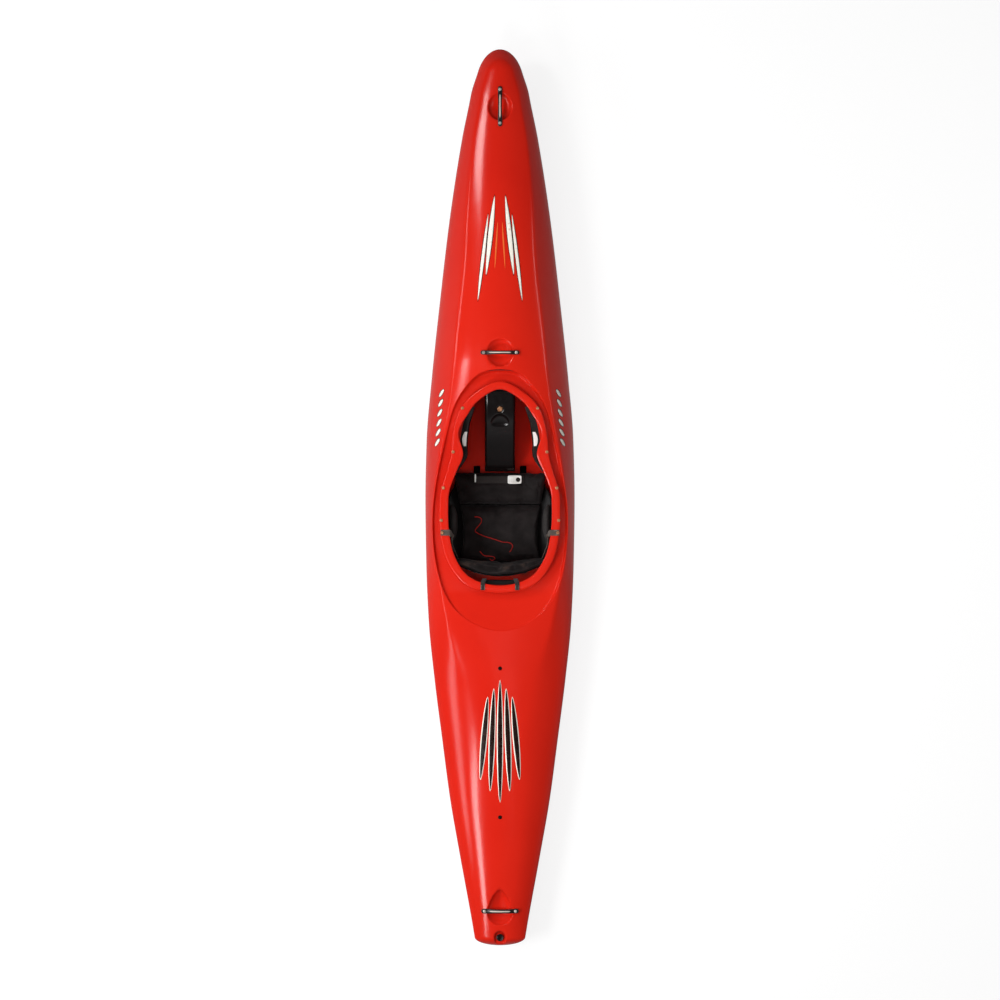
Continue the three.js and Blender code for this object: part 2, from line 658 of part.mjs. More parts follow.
// A cutter for the trough: its own floor and walls, or grown by the wall for the inside
function troughBody(grown) {
  const rings = [];
  for (let i = 0; i <= TROUGH_SPANS; i += 1) {
    const t = i / TROUGH_SPANS;
    const place = troughOutline(t / 2);
    const halfWidth = Math.max(place.x, TROUGH_END_SHARE * TROUGH_WIDTH / 2) + grown;
    const y = place.y + grown * (1 - 2 * t);
    const floor = troughFloor(place.y) - grown;
    const rising = DEPTH + OVERRUN;
    const spread = halfWidth + TROUGH_SLOPE;
    rings.push([
      point(-halfWidth, y, floor), point(halfWidth, y, floor), point(spread, y, floor + RIM_STAND),
      point(spread, y, rising), point(-spread, y, rising), point(-spread, y, floor + RIM_STAND),
    ]);
  }
  return solid(loft(rings));
}

const PLUG_POCKET_FLOOR = crown(PLUG_PLACE) - PLUG_POCKET_DEPTH;
const STEP_HEIGHT = troughFloor(STEP_FRONT) - WALL - STEP_CLEAR;
const RAIL_INSIDE = halfBeam(RAIL_PLACE + RAIL_LENGTH / 2) - WALL - RAIL_STAND;

const dishBody = ({ place, dishAcross, dishAlong }, grown) => solid(
  new THREE.SphereGeometry(1, DISH_SIDES, DISH_SIDES / 2)
    .rotateX(Math.PI / 2)
    .scale(dishAcross / 2 + grown, dishAlong / 2 + grown, DISH_DEPTH + grown)
    .translate(0, place, crown(place)));

const pocketBody = (grown) => solid(block(
  [-PLUG_POCKET_WIDTH / 2 - grown, -HALF_LENGTH - OVERRUN, PLUG_POCKET_FLOOR - grown],
  [PLUG_POCKET_WIDTH / 2 + grown, PLUG_PLACE + PLUG_POCKET_REACH + grown, DEPTH]));

const HANDLES = [BOW_HANDLE, FORE_HANDLE, STERN_HANDLE];
const recesses = (grown) => [
  troughBody(grown), pocketBody(grown), ...HANDLES.map((handle) => dishBody(handle, grown)),
].reduce((whole, part) => whole.add(part));

const outerRecesses = recesses(0);
const innerRecesses = recesses(WALL);
const hollow = shellBody(WALL).subtract(innerRecesses);
// The space that pieces inside the shell may fill, clear of its wall
const fitInside = shellBody(WALL + GAP).subtract(recesses(WALL + GAP));
const outerDeck = upperBody().subtract(outerRecesses);
// What pieces on the deck are cut by, so that they seat on it
const deckSeat = shellBody(-GAP).subtract(recesses(-GAP));

// The upright hole in the deck inside the riser of the rim
function openingBody() {
  const outline = [];
  for (let i = 0; i < RIM_SPANS; i += 1) {
    const place = rimPlaces(i / RIM_SPANS).riserIn;
    outline.push([place.x, place.y]);
  }
  return solid(extruded(flatShape(outline), DEPTH + OVERRUN).translate(0, 0, SHEER_HEIGHT_SHARE * DEPTH));
}

function rimBody() {
  const rings = [];
  for (let i = 0; i < RIM_SPANS; i += 1) {
    const { outer, lip, riserOut, riserIn, inner } = rimPlaces(i / RIM_SPANS);
    const at = (place, drop) => point(place.x, place.y, rimTop(place.y) - drop);
    const foot = (place) => point(place.x, place.y, troughFloor(place.y) - WALL / 2);
    rings.push([
      at(inner, 0), at(outer, 0), at(outer, RIM_EDGE_DROP), at(lip, RIM_EDGE_DROP), at(lip, RIM_THICK),
      at(riserOut, RIM_THICK), foot(riserOut), foot(riserIn), at(riserIn, RIM_THICK), at(inner, RIM_THICK),
    ]);
  }
  return solid(loft(rings, 'joined')).subtract(deckSeat);
}

// Fasteners

// A bolt or screw: a domed head on a level, a shank below it, and a nut on its end where it has one
function fastener(x, y, level, size) {
  const { head, height, radius, length, nut = 0 } = size;
  const end = nut
    ? [[0, -length], [NUT_RADIUS, -length], [NUT_RADIUS, nut - length], [radius, nut - length]]
    : [[0, -length], [radius, -length]];
  const profile = [...end, [radius, 0], [head, 0], [head, height * 0.4], [head * 0.6, height], [0, height]];
  return turned(profile, [x, y, level]);
}

const hole = (x, y, bottom, top, radius, sides) => solid(rod(x, y, bottom, top, radius + GAP, sides));
const boltSize = (length) => ({
  head: BOLT_HEAD_RADIUS, height: BOLT_HEAD_HEIGHT, radius: BOLT_RADIUS, length, nut: NUT_HEIGHT,
});
const screwSize = {
  head: SCREW_HEAD_RADIUS, height: SCREW_HEAD_HEIGHT, radius: SCREW_RADIUS, length: SCREW_LENGTH,
};

const group = new THREE.Group();
function addMesh(name, geometry, finish) {
  const mesh = new THREE.Mesh(geometry, finish);
  mesh.name = name;
  group.add(mesh);
}
const SIDES = [['left', -1], ['right', 1]];

// The shell: hull below the parting line, deck above it, and the rim on the deck

let lower = lowerBody().subtract(hollow);
let upper = outerDeck.subtract(hollow).subtract(openingBody());
let rim = rimBody();

// Bolts on the rim, from the flange down through the deck to what they hold

// Where a bolt stands on the rim, just inside its outer edge
const rimBoltOut = (y) => rimHalf(y) - BOLT_EDGE;
const braceTop = (y) => rimTop(y) - RIM_STAND - WALL - BRACE_CLEAR;
const braceFront = BRACE_REAR + BRACE_LENGTH;
const braceSlope = Math.atan2(braceTop(braceFront) - braceTop(BRACE_REAR), BRACE_LENGTH);
// The straight line of a brace's top, low enough to slide under the curve of the trough
const braceLine = (y) => braceTop(BRACE_REAR) + (y - BRACE_REAR) * Math.tan(braceSlope) - BRACE_CLEAR;
// The rim slopes, so what lies level on it stands clear of its higher side
const levelClear = (y, reach) => 3 * GAP + Math.abs(rimTop(y + reach) - rimTop(y - reach)) / 2;
const strapBoltReach = RIM_STAND + WALL + NUT_HEIGHT + STRAP_THICK;
const tabTop = rimTop(SIDE_STRAP_PLACE) - strapBoltReach - TAB_CLEAR;
const rimBolts = [];
SIDES.forEach(([side, sign]) => {
  BRACE_BOLT_PLACES.forEach((y, i) => {
    rimBolts.push({
      name: `brace_bolt_${i === 0 ? 'front' : 'rear'}_${side}`, x: sign * rimBoltOut(y), y,
      reach: rimTop(y) - braceLine(y) + BRACE_THICK + NUT_HEIGHT + BRACE_CLEAR,
    });
  });
  SEAT_BOLT_PLACES.forEach((y, i) => {
    rimBolts.push({
      name: `seat_bolt_${i === 0 ? 'front' : 'rear'}_${side}`, x: sign * rimBoltOut(y), y,
      reach: rimTop(y) - tabTop + TAB_THICK + NUT_HEIGHT + TAB_CLEAR,
    });
  });
  rimBolts.push({
    name: `side_strap_bolt_${side}`, x: sign * rimBoltOut(SIDE_STRAP_PLACE), y: SIDE_STRAP_PLACE,
    reach: strapBoltReach, lift: STRAP_THICK + levelClear(SIDE_STRAP_PLACE, SIDE_STRAP_WIDTH / 2),
  });
});
rimBolts.forEach(({ name, x, y, reach, lift = 0 }) => {
  const level = rimTop(y) + levelClear(y, BOLT_HEAD_RADIUS) + lift;
  const shaft = hole(x, y, rimTop(y) - reach, rimTop(y) + OVERRUN, BOLT_RADIUS);
  rim = rim.subtract(shaft);
  upper = upper.subtract(shaft);
  addMesh(name, fastener(x, y, level, boltSize(reach + level - rimTop(y))), BRASS);
});

// Grab handles

// A bar along X with a foot at each end and an arched grip between, before it is turned and seated
function handleBar({ length, width }) {
  const half = length / 2;
  const grip = half - FOOT_LENGTH;
  const under = HANDLE_RISE - HANDLE_THICK;
  const shape = new THREE.Shape();
  shape.moveTo(-half, -FOOT_SINK);
  shape.lineTo(-half, FOOT_HEIGHT);
  shape.lineTo(-grip, FOOT_HEIGHT);
  shape.quadraticCurveTo(-grip * HANDLE_ARCH_SHARE, HANDLE_RISE, 0, HANDLE_RISE);
  shape.quadraticCurveTo(grip * HANDLE_ARCH_SHARE, HANDLE_RISE, grip, FOOT_HEIGHT);
  shape.lineTo(half, FOOT_HEIGHT);
  shape.lineTo(half, -FOOT_SINK);
  shape.lineTo(grip, -FOOT_SINK);
  shape.quadraticCurveTo(grip * HANDLE_ARCH_SHARE, under, 0, under);
  shape.quadraticCurveTo(-grip * HANDLE_ARCH_SHARE, under, -grip, -FOOT_SINK);
  return extruded(shape, width).translate(0, 0, -width / 2).rotateX(Math.PI / 2);
}

HANDLES.forEach((handle) => {
  const { name, place, length, lengthwise } = handle;
  const run = lengthwise ? length / 2 : handle.width;
  const pitch = Math.atan2(crown(place + run) - crown(place - run), 2 * run);
  const toPlace = (geometry) => geometry
    .rotateZ(lengthwise ? Math.PI / 2 : 0).rotateX(pitch).translate(0, place, crown(place));
  let bar = solid(toPlace(handleBar(handle))).subtract(deckSeat);
  const screwOut = length / 2 - FOOT_LENGTH / 2;
  [['front', 1], ['rear', -1]].forEach(([end, sign]) => {
    const label = lengthwise ? end : { front: 'right', rear: 'left' }[end];
    const seat = FOOT_HEIGHT + GAP;
    const shank = rod(sign * screwOut, 0, -SCREW_LENGTH - OVERRUN, OVERRUN, SCREW_RADIUS + GAP);
    const bore = solid(toPlace(shank));
    bar = bar.subtract(bore);
    upper = upper.subtract(bore);
    const screw = toPlace(fastener(sign * screwOut, 0, seat, screwSize));
    addMesh(`${name}_handle_screw_${label}`, screw, STEEL);
  });
  addMesh(`${name}_grab_handle`, geometryOf(bar), BLACK_MOULDING);
});

// Drain plug in its pocket at the stern

const plugBore = hole(0, PLUG_PLACE, PLUG_POCKET_FLOOR - OVERRUN, DEPTH, PLUG_SHAFT_RADIUS, PLUG_SIDES);
upper = upper.subtract(plugBore);
const gasketBottom = PLUG_POCKET_FLOOR + GAP;
const gasketTop = gasketBottom + GASKET_THICK;
const gasketInner = PLUG_SHAFT_RADIUS + GAP;
const gasketOuter = gasketInner + GASKET_WIDTH;
addMesh('drain_gasket', turned([
  [gasketInner, gasketBottom], [gasketOuter, gasketBottom], [gasketOuter, gasketTop],
  [gasketInner, gasketTop],
  [gasketInner, gasketBottom],
], [0, PLUG_PLACE, 0], PLUG_SIDES), RUBBER);
const capBottom = gasketTop + GAP;
const capTop = capBottom + PLUG_HEIGHT;
const shaftBottom = capBottom - PLUG_SHAFT_LENGTH;
const plugBlank = solid(turned([
  [0, shaftBottom], [PLUG_SHAFT_RADIUS, shaftBottom], [PLUG_SHAFT_RADIUS, capBottom],
  [PLUG_RADIUS, capBottom],
  [PLUG_RADIUS, capTop - PLUG_SLOT], [PLUG_RADIUS - PLUG_SLOT, capTop], [0, capTop],
], [0, PLUG_PLACE, 0], PLUG_SIDES));
const plugSlot = solid(block(
  [-PLUG_RADIUS, PLUG_PLACE - PLUG_SLOT / 2, capTop - PLUG_SLOT],
  [PLUG_RADIUS, PLUG_PLACE + PLUG_SLOT / 2, DEPTH]));
addMesh('drain_plug', geometryOf(plugBlank.subtract(plugSlot)), BLACK_MOULDING);

// Rear foam pillar and the deck screws that hold it

const rearPillarEnd = REAR_PILLAR_FRONT - REAR_PILLAR_LENGTH;
const rearPillarRings = [
  [REAR_PILLAR_FRONT, REAR_PILLAR_WIDTH], [REAR_PILLAR_FRONT - REAR_PILLAR_LENGTH / 4, REAR_PILLAR_WIDTH],
  [rearPillarEnd, REAR_PILLAR_END_WIDTH],
].map(([y, width]) => [
  point(-width / 2, y, 0), point(width / 2, y, 0), point(width / 2, y, DEPTH), point(-width / 2, y, DEPTH),
]);
let rearPillar = solid(loft(rearPillarRings)).intersect(fitInside);
PILLAR_SCREW_PLACES.forEach((y, i) => {
  const shaft = hole(0, y, crown(y) - DECK_SCREW_LENGTH - WALL, crown(y) + OVERRUN, BOLT_RADIUS);
  rearPillar = rearPillar.subtract(shaft);
  upper = upper.subtract(shaft);
  addMesh(`pillar_screw_${i === 0 ? 'front' : 'rear'}`, fastener(0, y, crown(y) + 2 * GAP, {
    head: DECK_SCREW_HEAD_RADIUS, height: SCREW_HEAD_HEIGHT, radius: BOLT_RADIUS, length: DECK_SCREW_LENGTH,
  }), STEEL);
});
addMesh('rear_pillar', geometryOf(rearPillar), BLACK_FOAM);

// Front foam pillar, and the moulded step on its end

const frontPillarRear = STEP_FRONT + GAP;
addMesh('front_pillar', geometryOf(solid(block(
  [-FRONT_PILLAR_WIDTH / 2, frontPillarRear, 0],
  [FRONT_PILLAR_WIDTH / 2, frontPillarRear + FRONT_PILLAR_LENGTH, DEPTH])).intersect(fitInside)), BLACK_FOAM);

function stepBody() {
  const front = STEP_FRONT;
  const floor = WALL + GAP;
  const side = STEP_SHARES.map(([back, up]) => [front - back * STEP_LENGTH, up * STEP_HEIGHT]);
  const outline = [[front, floor], ...side.slice().reverse(), [front - STEP_LENGTH, floor]];
  const middle = solid(extruded(flatShape(outline), STEP_WIDTH)
    .rotateY(Math.PI / 2).rotateX(Math.PI / 2).translate(-STEP_WIDTH / 2, 0, 0));
  const ridge = STEP_WIDTH / 2 - STEP_EDGE;
  const bevels = SIDES.map(([, sign]) => solid(loft(side.map(([y, z]) => [
    point(sign * ridge, y, z + GAP), point(sign * (ridge + 2 * STEP_EDGE), y, z - 2 * STEP_EDGE),
    point(sign * (ridge + 2 * STEP_EDGE), y, z + OVERRUN), point(sign * ridge, y, z + OVERRUN),
  ]))));
  return bevels.reduce((body, bevel) => body.subtract(bevel), middle);
}
const stepProfile = through(
  STEP_SHARES.map(([back, up]) => [STEP_FRONT - back * STEP_LENGTH, up * STEP_HEIGHT]));
const stepHollow = solid(new THREE.SphereGeometry(1, DISH_SIDES, DISH_SIDES / 2)
  .scale(STEP_HOLLOW_WIDTH / 2, STEP_HOLLOW_WIDTH / 3, STEP_HOLLOW_DEPTH)
  .translate(0, STEP_HOLLOW_PLACE, stepProfile(STEP_HOLLOW_PLACE)));
const stepBoltSeat = stepProfile(STEP_BOLT_PLACE) - BOLT_HEAD_RADIUS;
const stepBoltPocket = hole(0, STEP_BOLT_PLACE, stepBoltSeat, DEPTH, 2 * BOLT_HEAD_RADIUS);
const stepBoltShaft = hole(0, STEP_BOLT_PLACE, stepBoltSeat - DECK_SCREW_LENGTH - WALL, DEPTH, BOLT_RADIUS);
addMesh('pillar_step', geometryOf(
  stepBody().subtract(stepHollow).subtract(stepBoltPocket).subtract(stepBoltShaft)), BLACK_MOULDING);
addMesh('step_bolt', fastener(0, STEP_BOLT_PLACE, stepBoltSeat + GAP, {
  head: 1.5 * BOLT_HEAD_RADIUS, height: BOLT_HEAD_HEIGHT, radius: BOLT_RADIUS, length: DECK_SCREW_LENGTH,
}), BRASS);

// Seat: runners on the floor, pan with wings and bolt tabs, pads

const floorTop = WALL + GAP;
const runnerTop = floorTop + RUNNER_HEIGHT;
const panBottom = runnerTop + GAP;
const panFloor = panBottom + SEAT_THICK;
const seatMiddle = SEAT_FRONT - SEAT_LENGTH / 2;
SIDES.forEach(([side, sign]) => {
  const middle = sign * RUNNER_SPACING / 2;
  addMesh(`seat_runner_${side}`, block(
    [middle - RUNNER_WIDTH / 2, seatMiddle - RUNNER_LENGTH / 2, floorTop],
    [middle + RUNNER_WIDTH / 2, seatMiddle + RUNNER_LENGTH / 2, runnerTop]), ALUMINIUM);
});

const wingShare = through(WING_SHARES);
const wingTop = (y) => panBottom + wingShare((SEAT_FRONT - y) / SEAT_LENGTH) * WING_HEIGHT;
function panBody() {
  const rings = [];
  for (let i = 0; i <= 14; i += 1) {
    const y = SEAT_FRONT - SEAT_LENGTH * i / 14;
    const top = wingTop(y);
    const base = SEAT_BASE_WIDTH / 2;
    const wide = base + (SEAT_WIDTH / 2 - base) * Math.min(1, (top - panBottom) / (WING_HEIGHT * 0.6));
    const elbow = [wide, panBottom + (top - panBottom) * WING_ELBOW_SHARE];
    const outside = [[base, panBottom], elbow, [wide, top]];
    const inside = [[wide - SEAT_THICK, top], [wide - SEAT_THICK, elbow[1] + SEAT_THICK / 2],
      [base - SEAT_THICK / 2, panFloor]];
    const half = [...outside, ...inside];
    rings.push([
      ...half.map(([x, z]) => point(x, y, z)),
      ...half.slice().reverse().map(([x, z]) => point(-x, y, z)),
    ]);
  }
  return solid(loft(rings, 'ears'));
}
function tabBody(sign) {
  const edge = SEAT_WIDTH / 2;
  const rear = TAB_FRONT - TAB_LENGTH;
  const slotOut = SEAT_BOLT_PLACES.map(rimBoltOut);
  const low = Math.min(edge - SEAT_THICK, ...slotOut.map((out) => out - TAB_EDGE));
  const high = Math.max(edge, ...slotOut.map((out) => out + TAB_EDGE));
  const plate = solid(block(
    [Math.min(sign * low, sign * high), rear, tabTop - TAB_THICK],
    [Math.max(sign * low, sign * high), TAB_FRONT, tabTop]));
  const inner = edge - SEAT_THICK;
  const web = solid(block(
    [Math.min(sign * inner, sign * edge), rear, panBottom + WING_HEIGHT / 2],
    [Math.max(sign * inner, sign * edge), rear + TAB_WEB_LENGTH, tabTop]));
  return SEAT_BOLT_PLACES.reduce((body, y) => {
    const out = sign * rimBoltOut(y);
    const reach = BOLT_RADIUS + 2 * GAP;
    return body.subtract(solid(block(
      [out - reach, y - reach, 0], [out + reach, y + SEAT_TRAVEL + reach, DEPTH])));
  }, plate.add(web));
}
const panWithTabs = SIDES.reduce((body, [, sign]) => body.add(tabBody(sign)), panBody());
addMesh('seat_pan', geometryOf(panWithTabs), BLACK_MOULDING);

// How full a cushion is along its length, and how high it stands there
const fullness = (t) => Math.sqrt(Math.max(0, 1 - (2 * t - 1) ** 6));
const cushionRise = (t, height) => height * (CUSHION_END_SHARE + (1 - CUSHION_END_SHARE) * fullness(t));

// A cushion on a level: flat below, crowned above, its sides drawn in and a channel along its middle
function cushionBody({ front, length, width, bottom, height, draw, channel, rings = 12, corner = 0 }) {
  const stationRings = [];
  for (let i = 0; i <= rings; i += 1) {
    const t = i / rings;
    const rise = cushionRise(t, height);
    const half = width / 2 - draw * Math.sin(Math.PI * t) - draw * (1 - fullness(t));
    const y = front - length * t;
    const top = bottom + rise;
    const edge = half - height * CUSHION_EDGE_SHARE;
    const lifted = corner * (1 - t);
    const upper = [
      [half - draw / 2, bottom],
      [half, bottom + rise * CUSHION_SIDE_SHARE],
      [edge, top - rise * CUSHION_DROP_SHARE + lifted],
      [half * CUSHION_RIM_SHARE, top + lifted * CUSHION_LIFT_SHARE],
      [half * CUSHION_CROWN_SHARE, top],
      [channel, top],
      [0, top - channel],
    ];
    stationRings.push([
      ...upper.map(([x, z]) => point(x, y, z)),
      ...upper.slice(0, -1).reverse().map(([x, z]) => point(-x, y, z)),
    ]);
  }
  return loft(stationRings);
}

const padBottom = panFloor + GAP;
const padFront = LIFTER_HINGE - 2 * GAP;
addMesh('seat_pad', cushionBody({
  front: padFront, length: PAD_LENGTH, width: PAD_WIDTH, bottom: padBottom, height: PAD_HEIGHT,
  draw: PAD_DRAW,
  channel: PAD_CHANNEL,
}), BLACK_CLOTH);

// Hip pads inside the wings, thinner towards their ends
function hipPad(sign) {
  const outside = SEAT_WIDTH / 2 - SEAT_THICK - GAP;
  const bottom = padBottom + PAD_HEIGHT + HIP_PAD_LIFT / 4;
  const rings = [];
  for (let i = 0; i <= 8; i += 1) {
    const t = i / 8;
    const swell = Math.sqrt(Math.max(0.1, 1 - (2 * t - 1) ** 4));
    const y = HIP_PAD_FRONT - HIP_PAD_LENGTH * t;
    const low = bottom + HIP_PAD_LIFT * (1 - swell);
    const high = bottom + HIP_PAD_HEIGHT - HIP_PAD_LIFT * (1 - swell);
    const thick = HIP_PAD_THICK * (0.4 + 0.6 * swell);
    const middle = (low + high) / 2;
    const reach = (high - low) / 2;
    rings.push([
      [outside, low], [outside, high], [outside - thick * 0.6, high], [outside - thick, middle + reach * 0.6],
      [outside - thick * 0.86, middle], [outside - thick, middle - reach * 0.5], [outside - thick * 0.5, low],
    ].map(([x, z]) => point(sign * x, y, z)));
  }
  return loft(rings);
}
SIDES.forEach(([side, sign]) => addMesh(`hip_pad_${side}`, hipPad(sign), GREY_FOAM));

// Leg lifter: a wedge that hinges at its rear edge, with raised front corners
const lifterTop = (y) => padBottom + LIFTER_REAR_HEIGHT
  + (LIFTER_FRONT_HEIGHT - LIFTER_REAR_HEIGHT) * Math.sin(Math.PI / 2 * (y - LIFTER_HINGE) / LIFTER_LENGTH);
function lifterBody() {
  const rings = [];
  for (let i = 0; i <= LIFTER_RINGS; i += 1) {
    const t = i / LIFTER_RINGS;
    const y = LIFTER_HINGE + LIFTER_LENGTH * t;
    const nose = 1 - Math.max(t - LIFTER_NOSE_SHARE, 0) * LIFTER_NOSE_FALL;
    const top = padBottom + (lifterTop(y) - padBottom) * nose;
    const wide = PAD_WIDTH / 2 + (LIFTER_WIDTH - PAD_WIDTH) / 2 * t;
    const base = SEAT_BASE_WIDTH / 2 - 6 * SEAT_THICK;
    const corner = LIFTER_CORNER * t * nose;
    const elbow = padBottom + (top - padBottom) * LIFTER_ELBOW_SHARE;
    const half = [
      [base, padBottom], [wide - LIFTER_CORNER / 2, elbow], [wide - LIFTER_CORNER, top + corner],
      [wide * LIFTER_WING_SHARE, top + corner * LIFTER_RISE_SHARE], [wide * LIFTER_CROWN_SHARE, top],
    ];
    rings.push([
      ...half.map(([x, z]) => point(x, y, z)),
      ...half.slice().reverse().map(([x, z]) => point(-x, y, z)),
    ]);
  }
  return loft(rings);
}
addMesh('leg_lifter', lifterBody(), BLACK_CLOTH);

// Strap across the lifter, its buckle and its pull tab, laid on the slope of the top
const strapSlope = Math.atan2(
  lifterTop(LIFTER_STRAP_PLACE + LIFTER_STRAP_WIDTH / 2)
    - lifterTop(LIFTER_STRAP_PLACE - LIFTER_STRAP_WIDTH / 2),
  LIFTER_STRAP_WIDTH);
const strapLevel = lifterTop(LIFTER_STRAP_PLACE) + GAP;
const ontoLifter = (geometry) => geometry.rotateX(strapSlope).translate(0, LIFTER_STRAP_PLACE, strapLevel);
addMesh('lifter_strap', ontoLifter(block(
  [-LIFTER_STRAP_LENGTH / 2, -LIFTER_STRAP_WIDTH / 2, 0],
  [LIFTER_STRAP_LENGTH / 2, LIFTER_STRAP_WIDTH / 2, STRAP_THICK])), WEBBING);
const buckleBottom = STRAP_THICK + GAP;
const buckleBlank = solid(block(
  [BUCKLE_PLACE - BUCKLE_LENGTH / 2, -BUCKLE_WIDTH / 2, buckleBottom],
  [BUCKLE_PLACE + BUCKLE_LENGTH / 2, BUCKLE_WIDTH / 2, buckleBottom + BUCKLE_THICK]));
const buckleBore = solid(rod(
  BUCKLE_PLACE + BUCKLE_LENGTH / 4, 0, -OVERRUN, OVERRUN, BUCKLE_BORE, ROUND_SIDES));
addMesh('strap_buckle', ontoLifter(geometryOf(buckleBlank.subtract(buckleBore))), PALE_PLASTIC);
addMesh('strap_pull_tab', ontoLifter(block(
  [TAB_STRAP_PLACE - TAB_STRAP_WIDTH / 2, -TAB_STRAP_LENGTH / 3, GAP],
  [Math.min(TAB_STRAP_PLACE + TAB_STRAP_WIDTH / 2, -LIFTER_STRAP_LENGTH / 2 - GAP), TAB_STRAP_LENGTH * 2 / 3,
    STRAP_THICK + GAP])), PALE_PLASTIC);

// Backband: an upright arc, higher in the middle, a shell behind and a pad in front

const bandPlace = (t) => {
  const angle = (t - 0.5) * 2;
  return [angle * BAND_WIDTH / 2, BAND_FRONT - BAND_BOW * (1 - angle ** 2)];
};
function bandBody(near, far, margin) {
  const rings = [];
  for (let i = 0; i <= BAND_SPANS; i += 1) {
    const t = i / BAND_SPANS;
    const [x, y] = bandPlace(t);
    const [ahead, behind] = [bandPlace(t + 0.01), bandPlace(t - 0.01)];
    const tangent = new THREE.Vector2(ahead[0] - behind[0], ahead[1] - behind[1]).normalize();
    const back = new THREE.Vector2(tangent.y, -tangent.x);
    const swell = Math.sin(Math.PI * t) ** 0.6;
    const high = BAND_END_TOP + (BAND_TOP - BAND_END_TOP) * swell - margin;
    const tall = BAND_END_HEIGHT + (BAND_HEIGHT - BAND_END_HEIGHT) * swell - 2 * margin;
    const thick = (far - near) * (margin > 0 ? 1 : 0.5 + 0.5 * swell);
    const start = margin > 0 ? near : far - thick;
    const round = Math.min(thick / 2, tall / 6);
    rings.push([
      [far, high - round / 2], [start + thick / 2, high], [start, high - round], [start, high - tall / 2],
      [start, high - tall + round], [start + thick / 2, high - tall], [far, high - tall + round / 2],
    ].map(([out, z]) => point(x + back.x * out, y + back.y * out, z)));
  }
  return loft(rings);
}
addMesh('backband_pad', bandBody(0, BAND_THICK, 0), BLACK_CLOTH);
const padBack = BAND_THICK + GAP;
addMesh('backband_shell', bandBody(padBack, padBack + BAND_SHELL, BAND_SHELL), BLACK_MOULDING);

// Straps: flat ribbons through points, each with the direction of its width and the share of it that is left

function ribbon(places, width, thick) {
  const rings = places.map(({ at, across, left = 1 }, i) => {
    const before = places[Math.max(i - 1, 0)].at;
    const after = places[Math.min(i + 1, places.length - 1)].at;
    const run = new THREE.Vector3().subVectors(after, before).normalize();
    const wide = across.clone().addScaledVector(run, -across.dot(run)).normalize();
    const up = new THREE.Vector3().crossVectors(wide, run).normalize();
    return [[-1, -1], [1, -1], [1, 1], [-1, 1]].map(([a, b]) => at.clone()
      .addScaledVector(wide, a * left * width / 2).addScaledVector(up, b * thick / 2));
  });
  return loft(rings);
}

// Where a side strap meets the front of the band, close to its end: the band tilts about this line
const BAND_JOIN_SHARE = 0.97;
const bandJoin = bandPlace(BAND_JOIN_SHARE);
const bandJoinHeight = BAND_END_TOP - BAND_END_HEIGHT / 3;
SIDES.forEach(([side, sign]) => {
  const y = SIDE_STRAP_PLACE;
  const level = rimTop(y) + STRAP_THICK / 2 + levelClear(y, SIDE_STRAP_WIDTH / 2);
  const outer = rimHalf(y) - GAP;
  const inner = openingHalf(y - SIDE_STRAP_WIDTH) - 3 * STRAP_THICK;
  const lengthwise = point(0, 1, 0);
  const upright = point(0, 0.5, 1);
  const joinX = bandJoin[0] + BAND_THICK / 4;
  const joinY = bandJoin[1] - BAND_THICK * 0.21;
  const places = [
    { at: point(sign * outer, y, level), across: lengthwise },
    { at: point(sign * (outer + inner) / 2, y, level), across: lengthwise },
    { at: point(sign * inner, y, level), across: lengthwise },
    { at: point(sign * (inner - STRAP_THICK), y - STRAP_THICK, level - RIM_STAND / 2), across: lengthwise },
    {
      at: point(sign * (inner - STRAP_THICK * 2), (y + joinY) / 2, (level + bandJoinHeight) / 2),
      across: upright,
    },
    { at: point(sign * joinX, joinY, bandJoinHeight), across: point(0, 0, 1), left: BAND_JOIN_SHARE / 3 },
  ];
  const shaft = hole(sign * rimBoltOut(y), y, level - OVERRUN, level + OVERRUN, BOLT_RADIUS);
  addMesh(`side_strap_${side}`, geometryOf(
    solid(ribbon(places, SIDE_STRAP_WIDTH, STRAP_THICK)).subtract(shaft)), WEBBING);

  const x = sign * REAR_STRAP_SPREAD;
  const rearEdge = (outline) => {
    let t = 0.5;
    while (outline(t).x < REAR_STRAP_SPREAD + REAR_STRAP_WIDTH / 2) {
      t -= 0.002;
    }
    return outline(t).y;
  };
  const rearOuter = rearEdge(rimOutline);
  const rearInner = rearEdge(openingOutline);
  const rearLevel = (place) => rimTop(place) + STRAP_THICK / 2 + 3 * GAP;
  const bandBack = BAND_FRONT - BAND_BOW - BAND_THICK - BAND_SHELL - STRAP_CLEAR;
  const sideways = point(1, 0, 0);
  const rear = [
    { at: point(x, rearOuter + GAP, rearLevel(rearOuter)), across: sideways },
    { at: point(x, rearInner + STRAP_THICK, rearLevel(rearInner)), across: sideways },
    { at: point(x, rearInner + 3 * STRAP_THICK, rearLevel(rearInner) - 2 * STRAP_THICK), across: sideways },
    { at: point(x * 0.93, (rearInner + bandBack) / 2, BAND_TOP), across: sideways },
    { at: point(x * 0.9, bandBack, BAND_TOP - RIM_STAND), across: sideways },
  ];
  addMesh(`rear_strap_${side}`, ribbon(rear, REAR_STRAP_WIDTH, STRAP_THICK), WEBBING);
});

// Thigh braces: curved pads under the rim, each with slots for its two bolts and a pale patch

